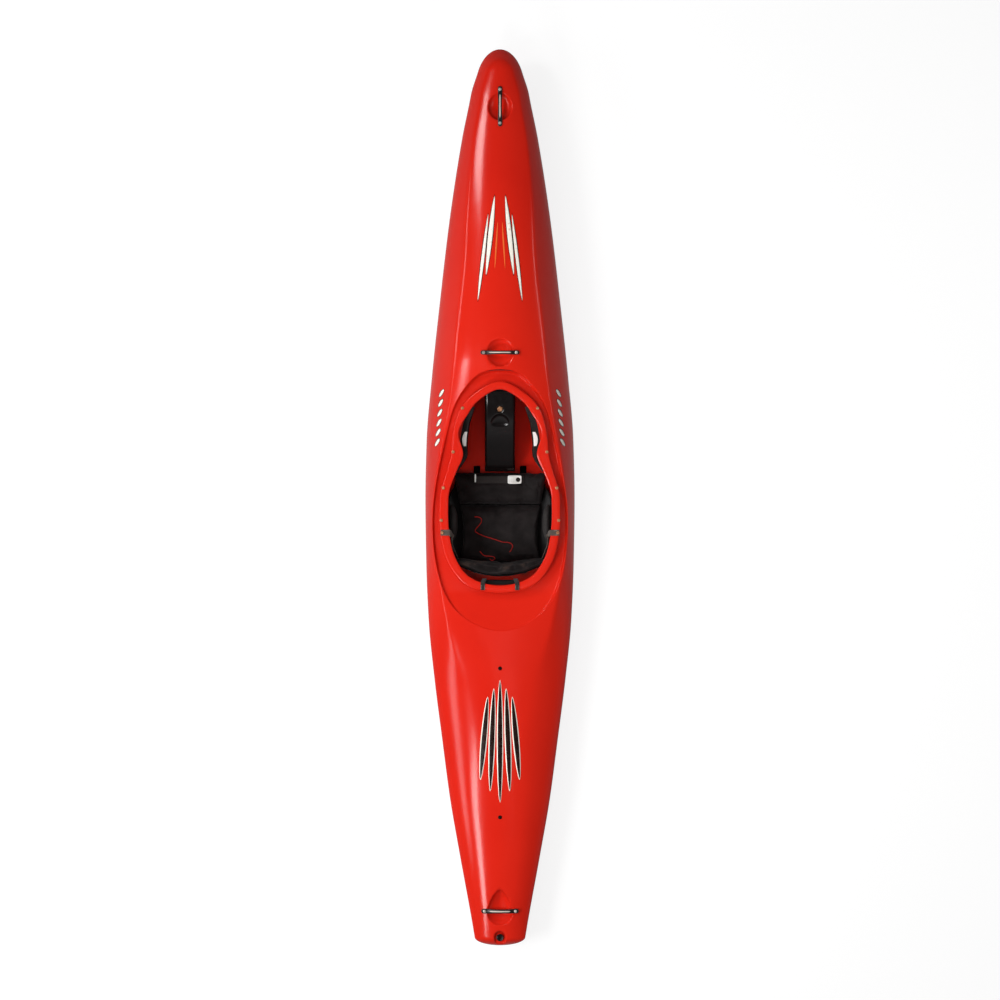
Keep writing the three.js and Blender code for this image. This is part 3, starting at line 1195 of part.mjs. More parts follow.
const braceReach = through(BRACE_REACH_SHARES);
const braceTaper = through(BRACE_TAPER_SHARES);
const riserHalf = (y) => halfWidthAt((t) => rimPlaces(t).riserIn, y);
function braceBody(sign) {
  const rings = [];
  for (let i = 0; i <= 12; i += 1) {
    const t = i / 12;
    const y = BRACE_REAR + BRACE_LENGTH * t;
    const inside = openingHalf(y) - BRACE_REACH * braceReach(t);
    const outside = Math.max(riserHalf(y) + BRACE_WIDTH / 2, rimBoltOut(y) + BRACE_WIDTH / 4);
    const top = braceLine(y);
    const thick = BRACE_THICK * braceTaper(t);
    rings.push([
      [outside, top], [outside, top - thick * 0.6], [outside - thick / 2, top - thick],
      [inside + thick / 2, top - thick * 0.9], [inside, top - thick * 0.4], [inside + thick / 5, top],
    ].map(([x, z]) => point(sign * x, y, z)));
  }
  return BRACE_BOLT_PLACES.reduce((body, y) => {
    const out = sign * rimBoltOut(y);
    const reach = BOLT_RADIUS + GAP;
    return body.subtract(solid(block(
      [out - reach, y - BRACE_TRAVEL - reach, 0], [out + reach, y + BRACE_TRAVEL + reach, DEPTH])));
  }, solid(loft(rings)));
}
SIDES.forEach(([side, sign]) => {
  addMesh(`thigh_brace_${side}`, geometryOf(braceBody(sign)), BLACK_MOULDING);
  const rings = [];
  for (let i = 0; i <= 4; i += 1) {
    const t = i / 4;
    const y = PATCH_PLACE + PATCH_LENGTH * (t - 0.5);
    const share = (y - BRACE_REAR) / BRACE_LENGTH;
    const inside = openingHalf(y) - BRACE_REACH * braceReach(share) + BRACE_THICK / 4;
    const top = braceLine(y) + GAP;
    const wide = PATCH_WIDTH * (0.6 + 0.4 * Math.sin(Math.PI * t));
    rings.push([
      point(sign * inside, y, top), point(sign * (inside + wide), y, top),
      point(sign * (inside + wide), y, top + PATCH_THICK), point(sign * inside, y, top + PATCH_THICK),
    ]);
  }
  addMesh(`brace_patch_${side}`, loft(rings), PALE_PLASTIC);
});

// Footbrace: rails on the sides of the hull, plate and foam pad between them

SIDES.forEach(([side, sign]) => {
  const [low, high] = [Math.min(sign * RAIL_INSIDE, sign * BEAM), Math.max(sign * RAIL_INSIDE, sign * BEAM)];
  const bar = solid(block(
    [low, RAIL_PLACE - RAIL_LENGTH / 2, RAIL_LIFT],
    [high, RAIL_PLACE + RAIL_LENGTH / 2, RAIL_LIFT + RAIL_HEIGHT],
  ));
  addMesh(`footbrace_rail_${side}`, geometryOf(bar.intersect(fitInside)), ALUMINIUM);
});
function plateOutline(margin) {
  const wide = RAIL_INSIDE - GAP - margin;
  const narrow = PLATE_END_WIDTH / 2 - margin;
  const [low, high] = [RAIL_LIFT - margin, RAIL_LIFT + RAIL_HEIGHT + margin];
  const half = [[narrow, PLATE_BOTTOM + margin], [wide, low], [wide, high], [narrow, PLATE_TOP - margin]];
  return flatShape([...half, ...half.slice().reverse().map(([x, z]) => [-x, z])]);
}
const standing = (geometry, y) => geometry.rotateX(Math.PI / 2).translate(0, y, 0);
const footPlate = extruded(plateOutline(0), PLATE_THICK);
addMesh('footbrace_plate', standing(footPlate, RAIL_PLACE + PLATE_THICK), ALUMINIUM);
addMesh('footbrace_pad', standing(
  extruded(plateOutline(FOOT_PAD_MARGIN), FOOT_PAD_THICK), RAIL_PLACE - GAP), BLACK_FOAM);

// Cords lying loose on the seat pad
function cordBody(route, steps) {
  const section = new THREE.Shape();
  for (let i = 0; i < CORD_SIDES; i += 1) {
    const turn = 2 * Math.PI * i / CORD_SIDES;
    const place = [Math.cos(turn), Math.sin(turn)].map((share) => share * CORD_DIAMETER / 2);
    section[i === 0 ? 'moveTo' : 'lineTo'](...place);
  }
  section.closePath();
  const lie = ([x, y]) => {
    const rise = cushionRise((padFront - y) / PAD_LENGTH, PAD_HEIGHT);
    return point(x, y, padBottom + rise + CORD_DIAMETER / 2 + GAP);
  };
  const extrudePath = new THREE.CatmullRomCurve3(route.map(lie));
  return new THREE.ExtrudeGeometry(section, { steps, extrudePath, bevelEnabled: false });
}
addMesh('red_cord_front', cordBody(FRONT_CORD_ROUTE, FRONT_CORD_STEPS), RED_CORD);
addMesh('red_cord_rear', cordBody(REAR_CORD_ROUTE, REAR_CORD_STEPS), RED_CORD);

// Hull and deck, each in three lengths that meet ahead of the trough and behind it
const shellJoints = [
  HALF_LENGTH + OVERRUN,
  TROUGH_FRONT + SHELL_JOINT_AHEAD,
  TROUGH_REAR - SHELL_JOINT_BEHIND,
  -HALF_LENGTH - OVERRUN,
];
['fore', 'middle', 'rear'].forEach((length, i) => {
  const [ahead, behind] = [shellJoints[i] - GAP / 2, shellJoints[i + 1] + GAP / 2];
  const span = solid(block([-BEAM, behind, -OVERRUN], [BEAM, ahead, 2 * DEPTH]));
  addMesh(`hull_${length}`, geometryOf(lower.intersect(span)), RED_SHELL);
  addMesh(`deck_${length}`, geometryOf(upper.intersect(span)), RED_SHELL);
});
addMesh('cockpit_rim', geometryOf(rim), RED_SHELL);

export default group;
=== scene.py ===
"""Looks of a whitewater kayak: rotomoulded shell, cockpit outfitting and fittings.

Metres, with +X to the right, +Y to the bow and +Z up. Sizes of the forms are in millimetres.
"""

import logging
import math
from dataclasses import dataclass
from enum import Enum
from typing import Callable, Dict, List, Optional, Sequence, Tuple

import bmesh
import bpy
import numpy as np
from mathutils import Matrix, Vector


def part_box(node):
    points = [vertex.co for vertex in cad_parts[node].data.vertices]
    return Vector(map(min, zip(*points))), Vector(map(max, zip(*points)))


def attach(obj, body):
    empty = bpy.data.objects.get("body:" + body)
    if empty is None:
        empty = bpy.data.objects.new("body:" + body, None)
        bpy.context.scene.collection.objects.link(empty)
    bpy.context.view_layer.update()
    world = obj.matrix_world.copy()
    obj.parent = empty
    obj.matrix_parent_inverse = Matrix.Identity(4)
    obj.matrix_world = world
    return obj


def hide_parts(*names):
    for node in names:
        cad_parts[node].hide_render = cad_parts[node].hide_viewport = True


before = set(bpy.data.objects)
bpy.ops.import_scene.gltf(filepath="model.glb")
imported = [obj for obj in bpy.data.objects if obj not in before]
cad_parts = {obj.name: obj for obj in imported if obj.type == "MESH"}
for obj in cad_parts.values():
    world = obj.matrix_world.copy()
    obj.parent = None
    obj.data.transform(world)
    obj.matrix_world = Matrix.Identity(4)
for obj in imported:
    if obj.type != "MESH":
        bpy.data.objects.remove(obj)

LOG = logging.getLogger("kayak")
MM = 0.001
MERGE = 1e-6
CLOTH_VOXEL = 5.0
CLOTH_FRAMES = 20
Point = Tuple[float, float, float]
Color = Tuple[int, int, int]
Pairs = Sequence[Tuple[float, float]]
Body = Tuple[np.ndarray, List[List[int]]]
Material = bpy.types.Material
Node = bpy.types.Node
Object = bpy.types.Object
Socket = bpy.types.NodeSocket


class Side(Enum):
    """The two sides of the boat and the sign of X there."""

    LEFT = -1
    RIGHT = 1

    @property
    def label(self) -> str:
        """Name used in piece names."""
        return self.name.lower()


class Cap(Enum):
    """How the ends of a loft are closed."""

    FLAT = "flat"
    JOINED = "joined"


# Curves


class Monotone:
    """A smooth monotone curve through given pairs."""

    def __init__(self, pairs: Pairs) -> None:
        """Keeps the pairs and works out a slope at each.

        Args:
            pairs: [place, value] pairs, places rising.
        """
        self.x = np.array([p[0] for p in pairs], float)
        self.y = np.array([p[1] for p in pairs], float)
        rise = np.diff(self.y) / np.diff(self.x)
        slope = np.zeros(len(self.x))
        slope[0], slope[-1] = rise[0], rise[-1]
        for i in range(1, len(rise)):
            before, after = rise[i - 1], rise[i]
            slope[i] = 0 if before * after <= 0 else 2 * before * after / (before + after)
        self.slope = slope

    def __call__(self, place: np.ndarray) -> np.ndarray:
        """Values of the curve.

        Args:
            place: one place or an array of them.

        Returns:
            The values there, held beyond the ends.
        """
        held = np.clip(np.asarray(place, float), self.x[0], self.x[-1])
        i = np.clip(np.searchsorted(self.x, held, side="left") - 1, 0, len(self.x) - 2)
        width = self.x[i + 1] - self.x[i]
        t = (held - self.x[i]) / width
        start = (1 + 2 * t) * (1 - t) ** 2 * self.y[i] + t * (1 - t) ** 2 * width * self.slope[i]
        end = t ** 2 * (3 - 2 * t) * self.y[i + 1] + t ** 2 * (t - 1) * width * self.slope[i + 1]
        return start + end


def catmull_loop(points: np.ndarray, per_span: int) -> np.ndarray:
    """A closed centripetal curve through points.

    Args:
        points: the points in plan, one row each.
        per_span: samples between one point and the next.

    Returns:
        Samples along the whole loop, the first at the first point.
    """
    count = len(points)
    samples = []
    for i in range(count):
        p0, p1, p2, p3 = (points[(i + k - 1) % count] for k in range(4))
        steps = ((p0, p1), (p1, p2), (p2, p3))
        d0, d1, d2 = (max(np.linalg.norm(b - a) ** 0.5, 1e-6) for a, b in steps)
        m1 = ((p1 - p0) / d0 - (p2 - p0) / (d0 + d1) + (p2 - p1) / d1) * d1
        m2 = ((p2 - p1) / d1 - (p3 - p1) / (d1 + d2) + (p3 - p2) / d2) * d1
        for t in np.arange(per_span) / per_span:
            c2, c3 = -3 * p1 + 3 * p2 - 2 * m1 - m2, 2 * p1 - 2 * p2 + m1 + m2
            samples.append(p1 + m1 * t + c2 * t * t + c3 * t ** 3)
    return np.array(samples)


def open_curve(points: np.ndarray, per_span: int) -> np.ndarray:
    """A smooth open curve through points.

    Args:
        points: the points, of any dimension, one row each.
        per_span: samples between one point and the next.

    Returns:
        Samples from the first point to the last.
    """
    points = np.asarray(points, float)
    first, last = 2 * points[0] - points[1], 2 * points[-1] - points[-2]
    p = np.vstack([first, points, last])
    samples = []
    for i in range(1, len(p) - 2):
        for t in np.arange(per_span) / per_span:
            samples.append(0.5 * (2 * p[i] + (p[i + 1] - p[i - 1]) * t
                                  + (2 * p[i - 1] - 5 * p[i] + 4 * p[i + 1] - p[i + 2]) * t * t
                                  + (3 * p[i] - p[i - 1] - 3 * p[i + 1] + p[i + 2]) * t ** 3))
    samples.append(points[-1])
    return np.array(samples)


def bezier(start: np.ndarray, pull: np.ndarray, end: np.ndarray, t: np.ndarray) -> np.ndarray:
    """A curve from one value to another, drawn towards a third on its way."""
    return (1 - t) ** 2 * start + 2 * t * (1 - t) * pull + t * t * end


def smooth_min(a: np.ndarray, b: np.ndarray, reach: float) -> np.ndarray:
    """The lower of two heights, with the corner between them rounded over a reach."""
    h = np.maximum(reach - np.abs(a - b), 0) / reach
    return np.minimum(a, b) - h * h * reach / 4


def turns(count: int) -> np.ndarray:
    """Even angles round a circle."""
    return 2 * np.pi * np.arange(count) / count


# Meshes


def linked(name: str, data: bpy.types.ID) -> Object:
    """A new object of the scene around its data."""
    made = bpy.data.objects.new(name, data)
    bpy.context.scene.collection.objects.link(made)
    return made


def smoothed(mesh: bpy.types.Mesh) -> bpy.types.Mesh:
    """The same mesh, shaded smooth."""
    for polygon in mesh.polygons:
        polygon.use_smooth = True
    return mesh


def mesh_object(name: str, points: Sequence[Point], faces: Sequence[Sequence[int]],
                finish: Material) -> Object:
    """A smooth-shaded object at the origin.

    Args:
        name: the piece's name.
        points: vertices in metres.
        faces: vertex indices of each face.
        finish: its material.

    Returns:
        The new object, with its faces turned outwards.
    """
    mesh = bpy.data.meshes.new(name)
    mesh.from_pydata([tuple(map(float, p)) for p in points], [], [list(f) for f in faces])
    built = bmesh.new()
    built.from_mesh(mesh)
    bmesh.ops.remove_doubles(built, verts=built.verts, dist=MERGE)
    bmesh.ops.recalc_face_normals(built, faces=built.faces)
    built.to_mesh(mesh)
    built.free()
    mesh.materials.append(finish)
    return linked(name, smoothed(mesh))


def loft(rings: np.ndarray, cap: Cap = Cap.FLAT) -> Body:
    """A skin through rings of equally many points.

    Args:
        rings: array of shape (rings, points, 3).
        cap: how the ends are closed.

    Returns:
        The points and the faces.
    """
    rings = np.asarray(rings, float)
    rows, count = rings.shape[:2]
    faces: List[List[int]] = []
    for i in range(rows if cap is Cap.JOINED else rows - 1):
        a, b = i * count, ((i + 1) % rows) * count
        for k in range(count):
            n = (k + 1) % count
            faces.append([a + k, a + n, b + n, b + k])
    if cap is Cap.FLAT:
        faces.append(list(range(count))[::-1])
        faces.append([(rows - 1) * count + k for k in range(count)])
    return rings.reshape(-1, 3), faces


def lofted(name: str, rings: np.ndarray, finish: Material, cap: Cap = Cap.FLAT) -> Object:
    """An object lofted through rings given in millimetres."""
    points, faces = loft(np.asarray(rings, float) * MM, cap)
    return mesh_object(name, points, faces, finish)


def superellipse(half_width: float, half_height: float, power: float, count: int) -> np.ndarray:
    """Points round a rounded rectangle.

    Args:
        half_width: reach along the first axis.
        half_height: reach along the second axis.
        power: 2 for an ellipse, more for squarer.
        count: number of points.

    Returns:
        Array of shape (count, 2).
    """
    c, s = np.cos(turns(count)), np.sin(turns(count))
    return np.stack([
        half_width * np.sign(c) * np.abs(c) ** (2 / power),
        half_height * np.sign(s) * np.abs(s) ** (2 / power),
    ], 1)


def joined(name: str, bodies: Sequence[Body], finish: Material) -> Object:
    """One object from several closed bodies.

    Args:
        name: the piece's name.
        bodies: points and faces of each body, in metres.
        finish: its material.

    Returns:
        The new object.
    """
    points: List[Point] = []
    faces: List[List[int]] = []
    for body_points, body_faces in bodies:
        start = len(points)
        points.extend(tuple(map(float, p)) for p in body_points)
        faces.extend([[start + k for k in face] for face in body_faces])
    return mesh_object(name, points, faces, finish)


def baked(piece: Object) -> Object:
    """Turns a piece's modifiers into plain mesh.

    Args:
        piece: the object with its modifiers.

    Returns:
        The same object without them.
    """
    graph = bpy.context.evaluated_depsgraph_get()
    graph.update()
    done = piece.evaluated_get(graph)
    mesh = bpy.data.meshes.new_from_object(done, preserve_all_data_layers=True, depsgraph=graph)
    piece.modifiers.clear()
    piece.data = smoothed(mesh)
    return piece


def placed(piece: Object, matrix: Matrix) -> Object:
    """Moves a piece by a matrix in millimetres, in its mesh."""
    piece.data.transform(Matrix.Scale(MM, 4) @ matrix @ Matrix.Scale(1 / MM, 4))
    return piece


def seated(piece: Object, body: str, slot: str, *nodes: str) -> Object:
    """Rides a finished piece on a body.

    Args:
        piece: the object.
        body: the body that carries it.
        slot: its material slot, not used.
        nodes: the CAD nodes that it stands for, if any.

    Returns:
        The same object.
    """
    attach(piece, body)
    if nodes:
        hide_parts(*nodes)
    faces = len(piece.data.polygons) if piece.type == "MESH" else 0
    LOG.info("%s rides on %s, %d faces", piece.name, body, faces)
    return piece


# Finishes


class Nodes:
    """A node tree under construction."""

    def __init__(self, tree: bpy.types.NodeTree) -> None:
        """Takes up a tree."""
        self.tree = tree

    def add(self, kind: str, **settings: object) -> Node:
        """Adds a node and sets its properties."""
        made = self.tree.nodes.new(kind)
        for key, value in settings.items():
            setattr(made, key, value)
        return made

    def node(self, kind: str, **inputs: object) -> Node:
        """Adds a node and sets the inputs that are named."""
        made = self.add(kind)
        for key, value in inputs.items():
            made.inputs[key.replace("_", " ")].default_value = value
        return made

    def link(self, source: Socket, target: Socket) -> None:
        """Joins two sockets."""
        self.tree.links.new(source, target)

    def feed(self, target: Socket, value: object) -> None:
        """Gives an input a socket or a number."""
        if isinstance(value, Socket):
            self.link(value, target)
        else:
            target.default_value = value

    def math(self, kind: str, *values: object) -> Socket:
        """One arithmetic step.

        Args:
            kind: the operation.
            values: its sockets or numbers, in order.

        Returns:
            The result.
        """
        made = self.add("ShaderNodeMath", operation=kind)
        for target, value in zip(made.inputs, values):
            self.feed(target, value)
        return made.outputs["Value"]

    def spread(self, value: Socket, low: object, high: object, start: float = 0.0,
               end: float = 1.0) -> Socket:
        """Maps a value onto a range.

        Args:
            value: the value.
            low: result at the start of the value's range, a socket or a number.
            high: result at its end.
            start: start of the value's range.
            end: its end.

        Returns:
            The mapped value.
        """
        made = self.node("ShaderNodeMapRange", From_Min=start, From_Max=end)
        self.link(value, made.inputs["Value"])
        self.feed(made.inputs["To Min"], low)
        self.feed(made.inputs["To Max"], high)
        return made.outputs["Result"]

    def mirrored_ray(self, path: Node) -> Socket:
        """1 for a ray that was mirrored or passed through something clear."""
        return self.math("MAXIMUM", path.outputs["Is Glossy Ray"], path.outputs["Is Transmission Ray"])


class Shader(Nodes):
    """A material under construction: its nodes and the principled shader."""

    def __init__(self, name: str) -> None:
        """Starts an empty material of that name."""
        self.material = bpy.data.materials.new(name)
        self.material.use_nodes = True
        super().__init__(self.material.node_tree)
        self.main = self.tree.nodes["Principled BSDF"]
        self.coords = self.add("ShaderNodeTexCoord")

    def set(self, **values: object) -> None:
        """Sets the shader's named inputs, each to a socket or a number."""
        for key, value in values.items():
            self.feed(self.main.inputs[key.replace("_", " ")], value)

    def noise(self, scale: float, detail: float, stretch: Point = (1, 1, 1), rough: float = 0.5) -> Socket:
        """Noise in object coordinates.

        Args:
            scale: how fine the noise is.
            detail: number of octaves.
            stretch: scale along each axis.
            rough: share of the finer octaves.

        Returns:
            Its value.
        """
        mapping = self.node("ShaderNodeMapping", Scale=stretch)
        self.link(self.coords.outputs["Object"], mapping.inputs["Vector"])
        made = self.node("ShaderNodeTexNoise", Scale=scale, Detail=detail, Roughness=rough)
        self.link(mapping.outputs["Vector"], made.inputs["Vector"])
        return made.outputs["Fac"]

    def waves(self, scale: float, axis: str, source: str = "Object") -> Socket:
        """Bands along one axis.

        Args:
            scale: how close they are.
            axis: X, Y or Z.
            source: the coordinates that they read.

        Returns:
            Their value.
        """
        made = self.node("ShaderNodeTexWave", Scale=scale)
        made.bands_direction = axis
        self.link(self.coords.outputs[source], made.inputs["Vector"])
        return made.outputs["Fac"]

    def ramp(self, value: Socket, *stops: Tuple[float, Sequence[float]]) -> Socket:
        """Maps a value to colours.

        Args:
            value: the value.
            stops: position and linear colour of each stop.

        Returns:
            The colour.
        """
        made = self.add("ShaderNodeValToRGB")
        elements = made.color_ramp.elements
        while len(elements) > 1:
            elements.remove(elements[-1])
        elements[0].position, elements[0].color = stops[0][0], (*stops[0][1], 1)
        for position, color in stops[1:]:
            elements.new(position).color = (*color, 1)
        self.link(value, made.inputs["Fac"])
        return made.outputs["Color"]

    def bump(self, *heights: Tuple[Socket, float]) -> Material:
        """Chains bumps into the shader's normal.

        Args:
            heights: value and distance in metres of each.

        Returns:
            The finished material.
        """
        before = None
        for value, distance in heights:
            made = self.node("ShaderNodeBump", Distance=distance, Strength=1.0)
            self.link(value, made.inputs["Height"])
            if before is not None:
                self.link(before, made.inputs["Normal"])
            before = made.outputs["Normal"]
        self.link(before, self.main.inputs["Normal"])
        return self.material


def linear(color: Color) -> Point:
    """An sRGB colour of 0 to 255 as linear light."""
    return tuple((c / 255 / 12.92) if c <= 10 else ((c / 255 + 0.055) / 1.055) ** 2.4 for c in color)


def toned(color: Sequence[float], times: float, more: float = 0.0) -> Point:
    """A linear colour made lighter or darker, never above white."""
    return tuple(min(1.0, c * times + more) for c in color)


@dataclass(frozen=True)
class ShellFinish:
    """Glossy moulded polyethylene with a faint orange peel and uneven pigment."""

    color: Color = (216, 37, 21)
    shade: Color = (202, 30, 17)
    roughness: float = 0.13
    specular: float = 0.2
    speck: float = 0.2
    peel: float = 0.00005

    def build(self) -> Material:
        """The material."""
        s = Shader("red_polyethylene")
        drift, speck = s.noise(1.6, 3), s.noise(900, 2)
        pigment = s.math("ADD", s.math("MULTIPLY", drift, 1 - self.speck),
                         s.math("MULTIPLY", speck, self.speck))
        scuff = s.noise(14, 6, (1, 0.25, 1), 0.65)
        s.set(Base_Color=s.ramp(pigment, (0.3, linear(self.shade)), (0.7, linear(self.color))),
              Roughness=s.spread(scuff, self.roughness - 0.05, self.roughness + 0.09),
              Specular_IOR_Level=self.specular, IOR=1.5)
        return s.bump((s.noise(70, 2), self.peel), (s.noise(520, 2), self.peel * 0.25))


@dataclass(frozen=True)
class MouldingFinish:
    """Moulded plastic with a fine grain."""

    name: str
    color: Color
    roughness: float
    grain: float = 0.00004
    gloss: float = 0.5
    mottle: float = 0.5

    def build(self) -> Material:
        """The material."""
        s = Shader(self.name)
        base = linear(self.color)
        lighter = toned(base, 1 + self.mottle, self.mottle * 0.008)
        s.set(Base_Color=s.ramp(s.noise(24, 3), (0.3, base), (0.8, lighter)),
              Roughness=s.spread(s.noise(60, 4), self.roughness - 0.08, self.roughness + 0.1),
              Specular_IOR_Level=self.gloss)
        return s.bump((s.noise(1400, 2), self.grain))


@dataclass(frozen=True)
class FoamFinish:
    """Closed-cell foam: matt, with fine cells and a slow drift of shade."""

    name: str
    color: Color
    cells: float = 700.0

    def build(self) -> Material:
        """The material."""
        s = Shader(self.name)
        base = linear(self.color)
        cell = s.node("ShaderNodeTexVoronoi", Scale=self.cells)
        s.link(s.coords.outputs["Object"], cell.inputs["Vector"])
        s.set(Base_Color=s.ramp(s.noise(25, 6), (0.3, base), (0.85, toned(base, 1.7, 0.006))), Roughness=0.85)
        return s.bump((cell.outputs["Distance"], 0.00035), (s.noise(45, 4), 0.0006))


@dataclass(frozen=True)
class ClothFinish:
    """Stretch cloth over foam: a knit rib, sheen, soft pulls and, if it is given a third colour, paler
    patches of painted highlight.
    """

    name: str
    color: Color
    worn: Optional[Color] = None
    rib: float = 520.0

    def build(self) -> Material:
        """The material."""
        s = Shader(self.name)
        base = linear(self.color)
        lighter = toned(base, 1.8, 0.003)
        stops = [(0.35, base), (0.62, lighter)]
        # The third colour paints highlights: paler patches for light catching the cover's folds.
        if self.worn:
            stops = [(0.4, base), (0.53, lighter), (0.66, linear(self.worn))]
        s.set(Base_Color=s.ramp(s.noise(18, 6), *stops), Roughness=s.spread(s.noise(30, 4), 0.62, 0.85),
              Specular_IOR_Level=0.3, Sheen_Weight=0.04, Sheen_Roughness=0.4)
        knit = s.math("MULTIPLY", s.waves(self.rib, "X"), s.waves(self.rib, "Y"))
        folds = s.noise(7, 2, (1, 0.45, 1))
        return s.bump((knit, 0.00025), (s.noise(55, 4), 0.0012), (s.noise(12, 3), 0.005), (folds, 0.012))


@dataclass(frozen=True)
class WebbingFinish:
    """Woven tape: ribs across its own length, from its UV map."""

    name: str
    color: Color

    def build(self) -> Material:
        """The material."""
        s = Shader(self.name)
        base = linear(self.color)
        weave = s.math("MULTIPLY", s.waves(180, "X", "UV"), s.waves(60, "Y", "UV"))
        s.set(Base_Color=s.ramp(weave, (0.0, base), (0.9, toned(base, 2.2, 0.01))), Roughness=0.75,
              Sheen_Weight=0.15)
        return s.bump((weave, 0.0005))


@dataclass(frozen=True)
class MetalFinish:
    """Turned or rolled metal with fine scratches and tarnish."""

    name: str
    color: Color
    tarnish: Color
    roughness: float
    stretch: Point = (1, 1, 1)
    metallic: float = 1.0

    def build(self) -> Material:
        """The material."""
        s = Shader(self.name)
        scratch = s.noise(300, 5, self.stretch)
        s.set(Metallic=self.metallic,
              Base_Color=s.ramp(s.noise(160, 5), (0.35, linear(self.tarnish)), (0.65, linear(self.color))),
              Roughness=s.spread(scratch, self.roughness - 0.08, self.roughness + 0.12))
        return s.bump((scratch, 0.00003))


@dataclass(frozen=True)
class CordFinish:
    """Thin braided cord, with painted shade in the gaps between its strands."""

    name: str
    color: Color

    def build(self) -> Material:
        """The material."""
        s = Shader(self.name)
        braid = s.noise(900, 2)
        base = linear(self.color)
        # The darker stop is painted shade for the gaps between strands.
        s.set(Base_Color=s.ramp(braid, (0.3, toned(base, 0.35)), (0.6, base)), Roughness=0.7)
        return s.bump((braid, 0.0004))


@dataclass(frozen=True)
class FilmFinish:
    """Printed film on the deck, thin and glossy, worn a little at random."""

    name: str
    color: Color
    # The colour where the print has worn away.
    worn: Color

    def build(self) -> Material:
        """The material."""
        s = Shader(self.name)
        s.set(Base_Color=s.ramp(s.noise(120, 6), (0.25, linear(self.worn)), (0.4, linear(self.color))),
              Roughness=s.spread(s.noise(30, 3), 0.2, 0.34), Specular_IOR_Level=0.2)
        return s.bump((s.noise(70, 2), 0.00005))


class Finishes:
    """Every finish of the boat, built once."""

    def __init__(self) -> None:
        """Builds the materials."""
        drawn = (1, 0.05, 1)
        self.shell = ShellFinish().build()
        self.moulding = MouldingFinish("black_moulding", (20, 15, 14), 0.36, grain=0.00002).build()
        self.tray = MouldingFinish(
            "seat_moulding", (11, 8, 8), 0.46, grain=0.00002, gloss=0.3, mottle=0.1).build()
        self.satin = MouldingFinish(
            "satin_black_moulding", (14, 9, 9), 0.22, grain=0.000001, mottle=0.05).build()
        self.pale = MouldingFinish("pale_plastic", (222, 220, 214), 0.38).build()
        self.inlay = MouldingFinish("pale_inlay", (186, 176, 164), 0.45).build()
        self.foam = FoamFinish("black_foam", (14, 12, 12)).build()
        self.grey_foam = FoamFinish("grey_foam", (33, 30, 29), cells=900).build()
        self.cloth = ClothFinish("black_cloth", (19, 14, 14)).build()
        # The backband's cloth gets paler patches of painted highlight.
        self.worn_cloth = ClothFinish("worn_black_cloth", (19, 14, 14), worn=(64, 51, 45)).build()
        self.webbing = WebbingFinish("grey_webbing", (66, 56, 49)).build()
        self.dark_webbing = WebbingFinish("dark_webbing", (26, 20, 18)).build()
        self.brass = MetalFinish("brass_bolt", (224, 168, 124), (150, 92, 58), 0.34, metallic=0.5).build()
        self.steel = MetalFinish("screw_steel", (224, 218, 210), (160, 152, 144), 0.3, metallic=0.6).build()
        self.black_steel = MetalFinish("blackened_steel", (46, 42, 40), (24, 22, 21), 0.4).build()
        self.anodised = MetalFinish("black_anodised", (38, 36, 35), (22, 21, 20), 0.42, drawn).build()
        self.aluminium = MetalFinish("aluminium", (188, 190, 192), (150, 152, 154), 0.36, drawn).build()
        self.rubber = MouldingFinish("rubber_seal", (18, 18, 18), 0.7).build()
        self.cord = CordFinish("red_cord", (190, 28, 18)).build()
        self.white_film = FilmFinish("white_film", (250, 244, 232), (222, 176, 150)).build()
        self.black_film = FilmFinish("black_film", (30, 16, 13), (74, 24, 16)).build()
        self.orange_film = FilmFinish("orange_film", (230, 104, 46), (214, 66, 34)).build()


# The form of the boat, in millimetres


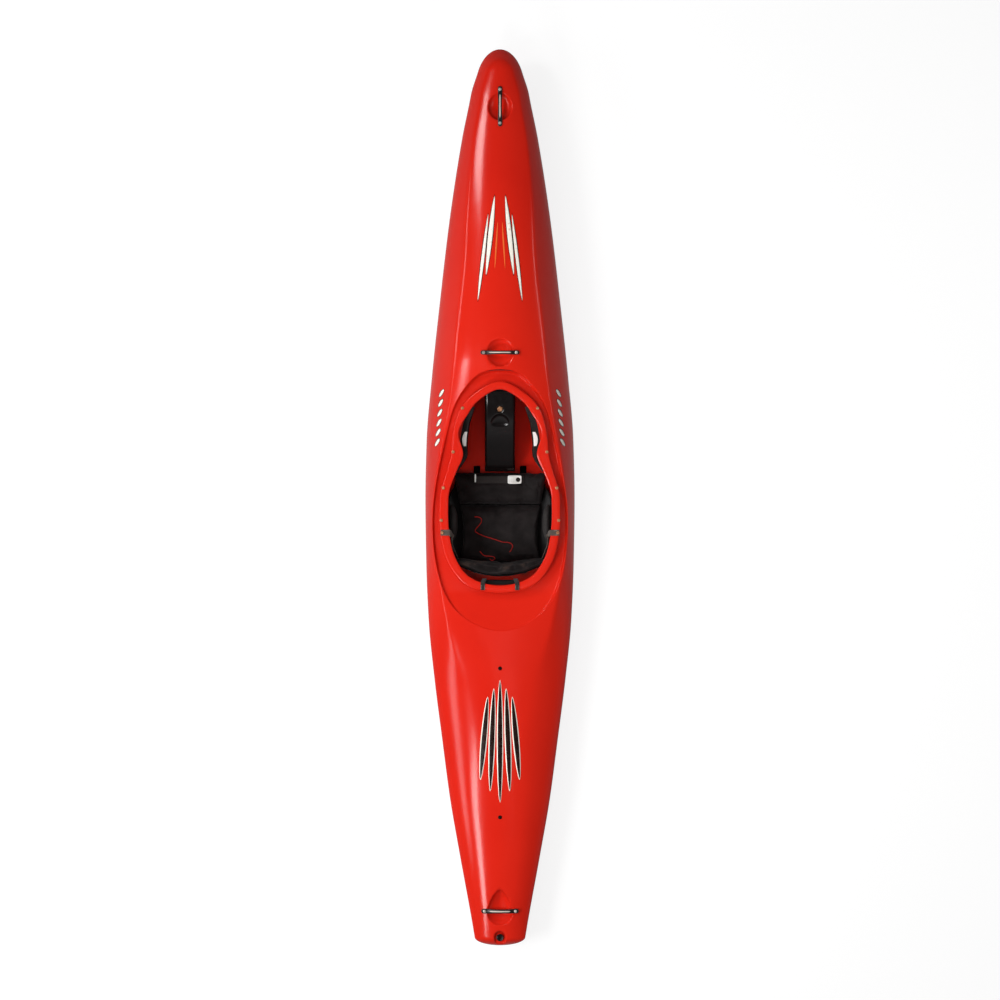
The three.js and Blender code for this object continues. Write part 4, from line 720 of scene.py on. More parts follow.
@dataclass
class HullForm:
    """The hull's and deck's surfaces."""

    length: float = 3655
    beam: float = 610
    depth: float = 374
    sheer_height: float = 0.4545
    bow_rocker: float = 0.4679
    stern_rocker: float = 0.2941
    bow_tip: float = 0.631
    stern_tip: float = 0.4225
    bow_round: float = 90
    stern_round: float = 33
    nose_pinch: float = 0.15
    nose_full: float = 50
    nose_end: float = 185
    crease: float = 5
    level_share: float = 0.78
    flank_power: float = 0.68
    floor_end: float = 0.45
    floor_power: float = 1.5
    chine_end: float = 0.78
    chine_pull: float = 0.82
    side_reach: float = 0.94
    side_level: float = 0.5
    ease_level: float = 0.8
    plan: Pairs = (
        (0, 0.281), (0.056, 0.401), (0.1, 0.508), (0.19, 0.675), (0.279, 0.802), (0.368, 0.916),
        (0.435, 0.983), (0.502, 1), (0.569, 0.989), (0.636, 0.956), (0.703, 0.876), (0.769, 0.775),
        (0.836, 0.668), (0.903, 0.528), (0.97, 0.381), (1, 0.321))
    bow_rise: Pairs = ((0, 1), (0.05, 0.72), (0.12, 0.42), (0.2, 0.19), (0.28, 0.06), (0.36, 0), (1, 0))
    stern_rise: Pairs = ((0, 0), (0.66, 0), (0.75, 0.06), (0.85, 0.3), (0.93, 0.65), (1, 1))
    sheer_line: Pairs = ((0, 1.4), (0.1, 1.3), (0.25, 1.15), (0.4, 1.03), (0.5, 1), (0.65, 0.99), (1, 1.02))
    crown_line: Pairs = (
        (0, 0.77), (0.1, 0.85), (0.2, 0.922), (0.3, 0.984), (0.345, 1), (0.36, 0.995), (0.4007, 0.968),
        (0.4486, 0.896), (0.4888, 0.797), (0.5246, 0.735), (0.5692, 0.711), (0.6483, 0.706), (0.75, 0.69),
        (0.85, 0.645), (0.95, 0.58), (1, 0.54))
    shoulder: Pairs = (
        (0, 0.5), (0.02, 0.6), (0.049, 0.66), (0.106, 0.7), (0.163, 0.68), (0.234, 0.65), (0.323, 0.69),
        (0.368, 0.7), (0.4007, 0.73), (0.4486, 0.81), (0.4888, 0.87), (0.5246, 0.9), (0.5692, 0.88),
        (0.6059, 0.8), (0.6483, 0.71), (0.703, 0.58), (0.77, 0.55), (0.854, 0.58), (1, 0.6))
    flat: Pairs = ((0, 0.15), (0.1, 0.3), (0.25, 0.5), (0.4, 0.62), (0.6, 0.62), (0.8, 0.5), (1, 0.4))
    deadrise: Pairs = ((0, 0.12), (0.2, 0.05), (0.36, 0), (0.66, 0), (1, 0.06))

    def __post_init__(self) -> None:
        """Builds the curves."""
        self.half = self.length / 2
        names = ("plan", "bow_rise", "stern_rise", "sheer_line", "crown_line", "shoulder", "flat", "deadrise")
        self.curves: Dict[str, Monotone] = {name: Monotone(getattr(self, name)) for name in names}

    def along(self, y: np.ndarray) -> np.ndarray:
        """Share of the length from the bow."""
        return (self.half - np.asarray(y, float)) / self.length

    def share(self, name: str, y: np.ndarray) -> np.ndarray:
        """Value of a named curve at a place along the boat."""
        return self.curves[name](self.along(y))

    def tip_share(self, y: np.ndarray) -> np.ndarray:
        """How far a section has closed towards a tip, 1 away from the ends."""
        y = np.asarray(y, float)
        ahead = np.clip((self.half - y) / self.bow_round, 0, 1)
        behind = np.clip((self.half + y) / self.stern_round, 0, 1)
        return np.minimum(np.sqrt(1 - (1 - ahead) ** 2), np.sqrt(1 - (1 - behind) ** 2))

    def tipped(self, height: np.ndarray, y: np.ndarray) -> np.ndarray:
        """A height drawn towards the tip's own near the ends."""
        tip = np.where(np.asarray(y) > 0, self.bow_tip, self.stern_tip) * self.depth
        return tip + (height - tip) * self.tip_share(y)

    def open_beam(self, y: np.ndarray) -> np.ndarray:
        """Half the beam at a place before the tips close it, drawn in along the nose."""
        ahead = self.nose_end - (self.half - np.asarray(y, float))
        gone = np.clip(ahead / (self.nose_end - self.nose_full), 0, 1)
        return self.share("plan", y) * self.beam / 2 * (1 - self.nose_pinch * gone * gone * (3 - 2 * gone))

    def half_beam(self, y: np.ndarray) -> np.ndarray:
        """Half the beam at a place."""
        return self.open_beam(y) * self.tip_share(y)

    def keel(self, y: np.ndarray) -> np.ndarray:
        """Height of the keel."""
        rise = self.share("bow_rise", y) * self.bow_rocker + self.share("stern_rise", y) * self.stern_rocker
        return self.tipped(rise * self.depth, y)

    def crown(self, y: np.ndarray) -> np.ndarray:
        """Height of the deck on the centre line."""
        return self.tipped(self.share("crown_line", y) * self.depth, y)

    def sheer(self, y: np.ndarray) -> np.ndarray:
        """Height where hull and deck meet."""
        return self.tipped(self.share("sheer_line", y) * self.sheer_height * self.depth, y)

    def crease_reach(self, y: np.ndarray) -> np.ndarray:
        """Reach of the crease along the deck's shoulder."""
        return self.half_beam(y) * self.share("shoulder", y)

    def deck(self, x: np.ndarray, y: np.ndarray) -> np.ndarray:
        """Height of the deck without its recesses, its crease closing in an arch round the bow.

        Args:
            x: places across the boat.
            y: places along it.

        Returns:
            The heights there.
        """
        x, y = np.abs(np.asarray(x, float)), np.asarray(y, float)
        tip = self.tip_share(y) * (y < 0) + (y >= 0)
        beam = np.maximum(self.open_beam(y) * tip, 1e-3)
        bottom = self.sheer(y)
        top = np.where(y < 0, self.crown(y), self.share("crown_line", y) * self.depth)
        level, crease = bottom + self.level_share * (top - bottom), self.share("shoulder", y)
        ahead = np.clip(1 - (self.half - y) / self.bow_round, 0, 1)
        out = np.hypot(x / beam, ahead)
        panel = top - (top - level) * (out / crease) ** 2
        flank = bottom + (level - bottom) * np.clip((1 - out) / (1 - crease), 0, 4) ** self.flank_power
        soft = np.minimum(self.crease, 0.2 * np.maximum(top - bottom, 1e-2))
        return smooth_min(panel, flank, soft)

    def hull(self, y: np.ndarray, u: np.ndarray) -> Tuple[np.ndarray, np.ndarray]:
        """The hull below the sheer.

        Args:
            y: places along the boat, shape (n, 1).
            u: shares of the girth from the keel (0) to the sheer (1), shape (m,).

        Returns:
            Reach and height, each of shape (n, m).
        """
        beam, bottom, top = self.half_beam(y), self.keel(y), self.sheer(y)
        lift = bottom + self.share("deadrise", y) * (top - bottom)
        flat = beam * self.share("flat", y)
        side_x, side_z = beam * self.side_reach, bottom + self.side_level * (top - bottom)
        ease = bottom + self.ease_level * (top - bottom)
        a = np.clip(u / self.floor_end, 0, 1)
        b = np.clip((u - self.floor_end) / (self.chine_end - self.floor_end), 0, 1)
        c = np.clip((u - self.chine_end) / (1 - self.chine_end), 0, 1)
        floor = flat * a, bottom + (lift - bottom) * a ** self.floor_power
        chine = bezier(flat, beam * self.chine_pull, side_x, b), bezier(lift, lift, side_z, b)
        flank = bezier(side_x, beam, beam, c), bezier(side_z, ease, top, c)
        x, z = (np.where(u < self.floor_end, low, np.where(u < self.chine_end, middle, high))
                for low, middle, high in zip(floor, chine, flank))
        return x, z


@dataclass
class CockpitForm:
    """The rim, its opening and the trough round it."""

    hull: HullForm
    rim_front: float = 473
    rim_length: float = 860
    rim_width: float = 492
    front_drop: float = 10
    rear_drop: float = 106
    stand: float = 38
    lip: float = 24
    rear_step: float = 2.5
    side_depth: float = 6.5
    side_place: float = -115
    side_reach: float = 160
    rim: Pairs = (
        (0, 0), (0.48, 0.07), (0.665, 0.135), (0.74, 0.196), (0.79, 0.272), (0.81, 0.348), (0.88, 0.424),
        (0.988, 0.528), (1, 0.593), (0.984, 0.72), (0.87, 0.849), (0.573, 0.959), (0, 1))
    slope: Pairs = (
        (0, 1), (0.2, 0.854), (0.33, 0.6), (0.42, 0.43), (0.55, 0.21), (0.66, 0.1), (0.724, 0.04), (0.85, 0),
        (1, 0.01))
    opening: Pairs = (
        (0, 0), (0.46, 0.069), (0.635, 0.135), (0.74, 0.178), (0.8, 0.229), (0.711, 0.334), (0.83, 0.413),
        (0.976, 0.516), (1, 0.6), (0.979, 0.732), (0.863, 0.857), (0.593, 0.954), (0, 1))
    trough: Pairs = (
        (0, 0), (0.29, 0.014), (0.5, 0.064), (0.686, 0.141), (0.849, 0.307), (0.956, 0.447), (1, 0.571),
        (0.956, 0.726), (0.812, 0.858), (0.59, 0.939), (0.295, 0.984), (0, 1))
    opening_front: float = 442
    opening_length: float = 799
    opening_width: float = 422
    trough_front: float = 512
    trough_length: float = 1054
    trough_width: float = 542
    samples: int = 40

    def __post_init__(self) -> None:
        """Builds the outlines."""
        self.rim_curve = Monotone(self.slope)
        self.rim_loop = self.loop(self.rim, self.rim_width, self.rim_front, self.rim_length)
        self.opening_loop = self.loop(
            self.opening, self.opening_width, self.opening_front, self.opening_length)
        self.trough_loop = self.loop(self.trough, self.trough_width, self.trough_front, self.trough_length)
        self.trough_rear = self.trough_front - self.trough_length

    def loop(self, shares: Pairs, width: float, front: float, length: float) -> np.ndarray:
        """A closed outline in plan.

        Args:
            shares: starboard points as shares of the half width and of the length from the front.
            width: the outline's width.
            front: Y of its front tip.
            length: its length.

        Returns:
            Points from the front tip down the starboard side and up the port side.
        """
        starboard = [(out * width / 2, front - along * length) for out, along in shares]
        port = [(-x, y) for x, y in starboard[1:-1][::-1]]
        return catmull_loop(np.array(starboard + port, float), self.samples)

    def rim_top(self, y: np.ndarray) -> np.ndarray:
        """Height of the rim's top."""
        share = self.rim_curve((self.rim_front - np.asarray(y, float)) / self.rim_length)
        return self.hull.depth - self.rear_drop + share * (self.rear_drop - self.front_drop)

    def floor(self, y: np.ndarray) -> np.ndarray:
        """Height of the trough's floor, deeper beside the seat and climbing to the deck behind the rim.

        Args:
            y: places along the boat.

        Returns:
            The heights there.
        """
        y = np.asarray(y, float)
        deeper = self.side_depth * np.exp(-((y - self.side_place) / self.side_reach) ** 4)
        low = self.rim_top(y) - self.stand - deeper
        rear = self.rim_front - self.rim_length
        climb = np.clip((rear - y) / (rear - self.trough_rear), 0, 1)
        return low + climb * (self.hull.crown(y) - self.rear_step - low)

    def half_width(self, loop: np.ndarray, y: float) -> float:
        """Starboard half width of an outline at a place along the boat."""
        half = loop[: len(loop) // 2 + 1]
        order = np.argsort(half[:, 1])
        return float(np.interp(y, half[order, 1], half[order, 0]))


@dataclass(frozen=True)
class Dish:
    """A hollow in the deck under a handle."""

    place: float
    across: float
    ahead: float
    behind: float
    sharp: float = 2.0
    depth: float = 30
    wall: float = 3
    reach: float = 1.8
    soft: float = 8

    def ratio(self, x: np.ndarray, y: np.ndarray) -> np.ndarray:
        """Distance from the dish's middle as a share of its edge's.

        Args:
            x: places across the boat.
            y: places along it.

        Returns:
            The shares, 1 on the edge.
        """
        along = np.asarray(y, float) - self.place
        reach = np.where(along > 0, self.ahead, self.behind)
        power = np.where(along > 0, self.sharp, 2.0)
        return (np.abs(np.asarray(x) / self.across) ** power + np.abs(along / reach) ** power) ** (1 / power)


@dataclass
class Recesses:
    """The deck's recesses: dishes and drain pocket."""

    hull: HullForm
    plug_place: float = -1793
    pocket_depth: float = 19
    pocket_half: float = 17
    pocket_ahead: float = 19
    pocket_wall: float = 2.4
    pocket_reach: float = 30
    pocket_soft: float = 7
    warp_pull: float = 0.5
    warp_width: float = 0.22
    warp_from: float = 0.3
    warp_to: float = 2
    dishes: Tuple[Dish, ...] = (
        Dish(1590, 49, 54.5, 54.5), Dish(589, 53, 56.5, 56.5), Dish(-1689, 53, 92, 54, sharp=1.45))

    def height(self, x: np.ndarray, y: np.ndarray) -> np.ndarray:
        """Height of the deck with its dishes and drain pocket.

        Args:
            x: places across the boat.
            y: places along it.

        Returns:
            The heights there.
        """
        z = self.hull.deck(x, y)
        for dish in self.dishes:
            level = float(self.hull.crown(dish.place))
            r = dish.ratio(x, y)
            bowl = level - dish.depth * np.sqrt(np.clip(1 - r * r, 0, 1))
            wall = level + np.maximum(r - 1, 0) * dish.across * dish.wall
            z = np.where(r < dish.reach, smooth_min(z, np.where(r < 1, bowl, wall), dish.soft), z)
        half = self.pocket_half
        floor = float(self.hull.crown(self.plug_place)) - self.pocket_depth
        ahead = np.asarray(y, float) - (self.plug_place + self.pocket_ahead)
        away = np.where(ahead > -half, np.hypot(x, ahead + half) - half, np.abs(x) - half)
        side = floor + np.maximum(away, 0) * self.pocket_wall
        return np.where(away < self.pocket_reach, smooth_min(z, side, self.pocket_soft), z)

    def warped(self, x: np.ndarray, y: np.ndarray) -> Tuple[np.ndarray, np.ndarray]:
        """Draws points towards the dishes' edges, so that the edges come out even.

        Args:
            x: places across the boat.
            y: places along it.

        Returns:
            The moved places.
        """
        x, y = np.array(x, float), np.array(y, float)
        for dish in self.dishes:
            r = dish.ratio(x, y)
            near = (r > self.warp_from) & (r < self.warp_to)
            fade = np.exp(-((r - 1) / self.warp_width) ** 2)
            pull = 1 + np.where(near, self.warp_pull * (1 - r) * fade / np.maximum(r, self.warp_from), 0)
            x = x * pull
            y = dish.place + (y - dish.place) * pull
        return x, y


class Skin:
    """Points and faces gathered from grids that share vertices."""

    def __init__(self) -> None:
        """Starts empty."""
        self.points: List[np.ndarray] = []
        self.count = 0
        self.faces: List[List[int]] = []

    def add(self, points: np.ndarray) -> np.ndarray:
        """Adds points.

        Args:
            points: the points, in a grid of any shape.

        Returns:
            Their indices in that shape.
        """
        points = np.asarray(points, float)
        flat = points.reshape(-1, 3)
        self.points.append(flat)
        index = np.arange(self.count, self.count + len(flat)).reshape(points.shape[:-1])
        self.count += len(flat)
        return index

    def grid(self, index: np.ndarray, closed: bool = False) -> None:
        """Adds the quads of a grid of indices.

        Args:
            index: the grid.
            closed: whether its second axis closes on itself.
        """
        rows, columns = index.shape
        for i in range(rows - 1):
            for k in range(columns if closed else columns - 1):
                n = (k + 1) % columns
                quad = [index[i, k], index[i, n], index[i + 1, n], index[i + 1, k]]
                face = [q for j, q in enumerate(quad) if q != quad[j - 1]]
                if len(set(face)) >= 3:
                    self.faces.append([int(q) for q in face])

    def all_points(self) -> np.ndarray:
        """Every point in one array."""
        return np.vstack(self.points)

    def normals(self) -> np.ndarray:
        """Outward normals of the points so far, told by the keel's, which face down."""
        mesh = bpy.data.meshes.new("probe")
        mesh.from_pydata([tuple(p) for p in self.all_points()], [], self.faces)
        built = bmesh.new()
        built.from_mesh(mesh)
        bmesh.ops.recalc_face_normals(built, faces=built.faces)
        built.normal_update()
        normal = np.array([v.normal for v in built.verts])
        points = np.array([v.co for v in built.verts])
        built.free()
        bpy.data.meshes.remove(mesh)
        midships = np.abs(points[:, 1]) < 300
        lowest = int(np.argmin(points[:, 2] + np.where(midships, 0, 1e3)))
        return normal if normal[lowest, 2] < 0 else -normal


@dataclass
class Quarters:
    """One skin of the shell round its cockpit: indices of the deck and the hull on both sides."""

    skin: Skin
    deck_right: np.ndarray
    deck_left: np.ndarray
    hull_right: np.ndarray
    hull_left: np.ndarray

    def close(self, rim: np.ndarray, first: int) -> None:
        """Joins the quarters to each other and to the cockpit, and adds their faces.

        Args:
            rim: indices of the ring round the cockpit.
            first: the station at the ring's front tip.
        """
        half = len(rim) // 2
        hole = np.arange(first, first + half + 1)
        solid = np.setdiff1d(np.arange(len(self.deck_right)), hole)
        self.deck_right[hole, 0] = rim[: half + 1]
        self.deck_left[hole[1:-1], 0] = rim[half + 1:][::-1]
        self.deck_left[hole[[0, -1]], 0] = rim[[0, half]]
        self.deck_left[solid, 0] = self.deck_right[solid, 0]
        self.hull_left[:, 0] = self.hull_right[:, 0]
        self.hull_right[:, -1], self.hull_left[:, -1] = self.deck_right[:, -1], self.deck_left[:, -1]
        for index in (self.deck_right, self.deck_left, self.hull_right, self.hull_left):
            self.skin.grid(index)
        for row in (0, -1):
            loop = np.concatenate([self.deck_right[row], self.hull_right[row][::-1][1:],
                                   self.hull_left[row][1:], self.deck_left[row][::-1][1:-1]])
            self.skin.faces.append([int(k) for k in loop])


@dataclass
class Shell:
    """The moulding: hull, deck and cockpit rim as one closed skin with a wall.

    The edges are given as pairs of a distance in plan and a drop or rise in height.
    """

    hull: HullForm
    cockpit: CockpitForm
    recesses: Recesses
    wall: float = 5
    spans: int = 232
    panel_columns: int = 24
    flank_columns: int = 9
    hull_columns: int = 20
    inner_step: int = 3
    inner_hull_step: int = 2
    lined_rows: int = 23
    axis_front: float = 300
    axis_rear: float = -230
    opening_edge: Pairs = ((1.2, 5.0), (0.0, 4.0), (-0.5, 2.5), (0.0, 1.0), (1.6, 0.1))
    flange_crown: float = 1.1
    rim_edge: Pairs = ((6.0, 0.0), (2.6, 0.9), (0.7, 2.9), (0.0, 6.0), (0.1, 8.4), (1.2, 9.8), (2.6, 10.2),
                       (4.2, 9.6), (5.2, 7.6), (6.6, 5.8), (9.0, 5.0))
    riser_top: Pairs = ((5, 5.0), (1.6, 5.8), (0.2, 8.4))
    riser_shares: Tuple[float, ...] = (0.35, 0.7)
    riser_foot: Pairs = ((0.0, 8.0), (0.7, 4.2), (2.4, 1.6), (5.0, 0.3))
    lining_edge: Tuple[float, float] = (2.4, 5.4)
    lining_top: Pairs = ((4, 5.6), (1, 7.5), (0, 11))
    lining_foot: Pairs = ((0, 3), (1.5, 0.4))
    floor_start: float = 8
    floor_end: float = 6
    floor_shares: Tuple[float, ...] = (0.0, 0.17, 0.34, 0.51, 0.68, 0.84)
    trough_edge: Tuple[float, ...] = (-6, -4, -2, 0, 1.5, 3, 4.5, 6, 7.5, 9, 11, 14, 18, 23)
    trough_slope: float = 4.75
    trough_round: float = 5
    station_step: float = 11
    tip_gap: float = 0.3
    fine_bow: Tuple[Point, ...] = ((1520, 1660, 5), (1740, 1815, 6), (1815, 1828, 1.6), (525, 655, 5))
    fine_stern: Tuple[Point, ...] = (
        (-1760, -1585, 5), (-1800, -1760, 4), (-1822, -1800, 3), (-1828, -1822, 1.0))
    least_panel: float = 0.25
    panel_end: float = 0.975
    crease_shares: Tuple[float, ...] = (0.982, 0.992, 1.0)
    flank_start: Tuple[float, ...] = (0.985, 0.96)

    def ray_place(self, loop: np.ndarray, at: np.ndarray) -> np.ndarray:
        """Where rays from the cockpit's middle line through points meet an outline.

        Args:
            loop: the outline.
            at: points in plan, from the front tip down the starboard side to the rear tip.

        Returns:
            The meeting points.
        """
        half = loop[: len(loop) // 2 + 1]
        result = []
        for x, y in at:
            origin = min(max(y, self.axis_rear), self.axis_front)
            turn = math.atan2(x, y - origin)
            angles = np.arctan2(half[:, 0], half[:, 1] - origin)
            k = int(np.clip(np.searchsorted(angles, turn), 1, len(half) - 1))
            a, b = angles[k - 1], angles[k]
            t = 0 if b <= a else min(max((turn - a) / (b - a), 0), 1)
            result.append(half[k - 1] + (half[k] - half[k - 1]) * t)
        return np.array(result)

    @staticmethod
    def even(loop: np.ndarray, count: int) -> np.ndarray:
        """Even points down the starboard half of an outline, both tips included."""
        half = loop[: len(loop) // 2 + 1]
        run = np.concatenate([[0], np.cumsum(np.linalg.norm(np.diff(half, axis=0), axis=1))])
        at = np.linspace(0, run[-1], count)
        return np.stack([np.interp(at, run, half[:, k]) for k in (0, 1)], 1)

    @staticmethod
    def outward(half: np.ndarray) -> np.ndarray:
        """Outward normals in plan along a starboard half outline."""
        tangent = np.gradient(half, axis=0)
        tangent[0] = tangent[-1] = (0, 0)
        tangent[0, 0], tangent[-1, 0] = 1, -1
        tangent /= np.linalg.norm(tangent, axis=1)[:, None]
        return np.stack([-tangent[:, 1], tangent[:, 0]], 1)

    def rings(self) -> Tuple[List[np.ndarray], List[np.ndarray]]:
        """Starboard half rings of the rim, the trough and its edge, each of shape (half spans + 1, 3).

        Returns:
            Outer rings from the opening's lower edge to the deck outside the trough, and inner rings from the
            same lower edge to the foot of the riser.
        """
        c = self.cockpit
        outer = self.even(c.rim_loop, self.spans // 2 + 1)
        inner = self.ray_place(c.opening_loop, outer)
        flange = np.linalg.norm(inner - outer, axis=1)[:, None]
        inward = (inner - outer) / flange
        trough = self.ray_place(c.trough_loop, outer)
        edge = self.outward(trough)

        def ring(plan: np.ndarray, height: np.ndarray) -> np.ndarray:
            """A ring from its plan and heights, its tips on the middle line."""
            plan = np.array(plan)
            plan[0, 0] = plan[-1, 0] = 0
            return np.column_stack([plan, np.broadcast_to(height, len(plan))])

        def below_top(plan: np.ndarray, drop: float) -> np.ndarray:
            """A ring a little below the rim's top."""
            return ring(plan, c.rim_top(plan[:, 1]) - drop)

        def in_trough(plan: np.ndarray, height: np.ndarray) -> np.ndarray:
            """A ring on the trough's floor or wall."""
            return ring(plan, self.trough_height(plan, height))

        start, end = self.opening_edge[-1][0], self.rim_edge[0][0]
        rings = [below_top(inner - inward * out, drop) for out, drop in self.opening_edge]
        for share in (0.2, 0.4, 0.6, 0.8):
            plan = inner - inward * (start + (flange - start - end) * share)
            rings.append(below_top(plan, -self.flange_crown * math.sin(math.pi * share)))
        rings += [below_top(outer + inward * into, drop) for into, drop in self.rim_edge]
        rings += [below_top(outer + inward * (c.lip - before), drop) for before, drop in self.riser_top]

        riser = outer + inward * c.lip
        under = c.rim_top(riser[:, 1]) - self.riser_top[-1][1]
        floor = c.floor(riser[:, 1]) + self.riser_foot[0][1]
        rings += [ring(riser, under + (floor - under) * share) for share in self.riser_shares]
        for out, up in self.riser_foot:
            plan = riser - inward * out
            rings.append(in_trough(plan, c.floor(plan[:, 1]) + up))
        foot = riser - inward * self.floor_start
        for share in self.floor_shares:
            plan = foot + (trough - edge * self.floor_end - foot) * share
            rings.append(in_trough(plan, c.floor(plan[:, 1])))
        for d in self.trough_edge:
            turned = (d + self.trough_round) ** 2 / (4 * self.trough_round)
            rise = self.trough_slope * (turned if abs(d) < self.trough_round else max(d, 0))
            rings.append(in_trough(trough + edge * d, c.floor(trough[:, 1]) + rise))

        back = outer + inward * (c.lip + self.wall)
        low = self.trough_height(back, c.floor(back[:, 1])) - self.wall
        top = c.rim_top(back[:, 1])
        into, drop = self.lining_edge
        inside = [ring(inner - inward * into, c.rim_top(inner[:, 1]) - drop)]
        inside += [ring(back + inward * into, top - drop) for into, drop in self.lining_top]
        inside.append(ring(back, (top + low) / 2))
        inside += [ring(back - inward * out, low + up) for out, up in self.lining_foot]
        return rings, inside

    def trough_height(self, plan: np.ndarray, height: np.ndarray) -> np.ndarray:
        """The lower of the deck and a height in the trough, less rounded where the trough runs out.

        Args:
            plan: places in plan, one row each.
            height: the trough's height there.

        Returns:
            The lower height.
        """
        deck = self.recesses.height(plan[:, 0], plan[:, 1])
        reach = np.clip(0.5 * (deck - self.cockpit.floor(plan[:, 1])), 1.2, 7)
        return smooth_min(deck, np.asarray(height, float), reach)

    def stations(self, start: float, end: float, fine: Sequence[Point]) -> np.ndarray:
        """Places between two stations, closer inside fine stretches.

        Args:
            start: the first place, exclusive.
            end: the last place, exclusive.
            fine: low end, high end and spacing of each stretch.

        Returns:
            The places, from start towards end.
        """
        places, y, sign = [], start, -1 if end < start else 1
        while True:
            step = self.station_step
            for low, high, spacing in fine:
                if low <= y <= high:
                    step = spacing
            y += sign * step
            if (y - end) * sign > -step * 0.5:
                return np.array(places)
            places.append(y)

    def columns(self, y: np.ndarray, hole: np.ndarray) -> np.ndarray:
        """Reach of every deck column at every station.

        Args:
            y: stations, shape (n,).
            hole: half width of the hole there, 0 outside it.

        Returns:
            Array of shape (n, columns).
        """
        beam = self.hull.half_beam(y)
        crease = np.maximum(self.hull.crease_reach(y), hole + self.least_panel * (beam - hole))
        even = np.linspace(0, 1, self.panel_columns + 1)[:-1] * self.panel_end
        share = np.concatenate([even, self.crease_shares])
        panel = hole[:, None] + (crease - hole)[:, None] * share[None, :]
        v = np.concatenate([self.flank_start, np.linspace(1, 0, self.flank_columns + 1)[1:]])
        flank = beam[:, None] - (beam - crease)[:, None] * (v ** 2)[None, :]
        return np.concatenate([panel, flank], 1)

    def build(self, finish: Material) -> Object:
        """The whole shell as one object.

        Args:
            finish: its material.

        Returns:
            The shell.
        """
        skin = Skin()
        rings, inside = self.rings()
        last = rings[-1]
        mirror = np.array([-1, 1, 1])

        def whole(ring: np.ndarray) -> np.ndarray:
            """A half ring and its mirror image as one ring."""
            return np.vstack([ring, (ring[1:-1] * mirror)[::-1]])

        ring_index = skin.add(np.array([whole(r) for r in rings]))
        skin.grid(ring_index, closed=True)

        tip = self.hull.half - self.tip_gap
        bow = np.concatenate([[tip], self.stations(tip, last[0, 1], self.fine_bow)])
        stern = np.concatenate([self.stations(last[-1, 1], -tip, self.fine_stern), [-tip]])
        y = np.concatenate([bow, last[:, 1], stern])
        hole = np.concatenate([np.zeros(len(bow)), last[:, 0], np.zeros(len(stern))])
        x = self.columns(y, hole)
        grid_y = np.repeat(y[:, None], x.shape[1], 1)
        free = np.ones_like(x, bool)
        free[:, -1] = False
        free[len(bow): len(bow) + len(last)] = False
        warped_x, warped_y = self.recesses.warped(x, grid_y)
        x, grid_y = np.where(free, warped_x, x), np.where(free, warped_y, grid_y)
        z = self.recesses.height(x, grid_y)
        z[:, -1] = self.hull.sheer(y)
        deck = np.stack([x, grid_y, z], -1)

        u = np.linspace(0, 1, self.hull_columns + 1)
        hull_x, hull_z = self.hull.hull(y[:, None], u[None, :])
        body = np.stack([hull_x, np.repeat(y[:, None], len(u), 1), hull_z], -1)
        outer = Quarters(skin, skin.add(deck), skin.add(deck * mirror),
                         skin.add(body), skin.add(body * mirror))
        outer.close(ring_index[-1], len(bow))

        normals, points = skin.normals(), skin.all_points()

        def offset(index: np.ndarray) -> np.ndarray:
            """Adds the points of the inner wall opposite some of the outer."""
            return skin.add(points[index] - normals[index] * self.wall)

        deepest = len(rings) - 1
        lined = [offset(ring_index[k]) for k in range(deepest, deepest - self.lined_rows, -self.inner_step)]
        lining = [skin.add(whole(r)) for r in inside]
        skin.grid(np.array([*lined, *lining[::-1], ring_index[0]]), closed=True)
        columns = outer.deck_right.shape[1]
        keep = [*range(0, columns - 1, self.inner_step), columns - 1]
        keep_hull = slice(0, None, self.inner_hull_step)
        inner = Quarters(skin, offset(outer.deck_right[:, keep]), offset(outer.deck_left[:, keep]),
                         offset(outer.hull_right[:, keep_hull]), offset(outer.hull_left[:, keep_hull]))
        inner.close(lined[0], len(bow))
        return mesh_object("shell", skin.all_points() * MM, skin.faces, finish)


# Geometry nodes


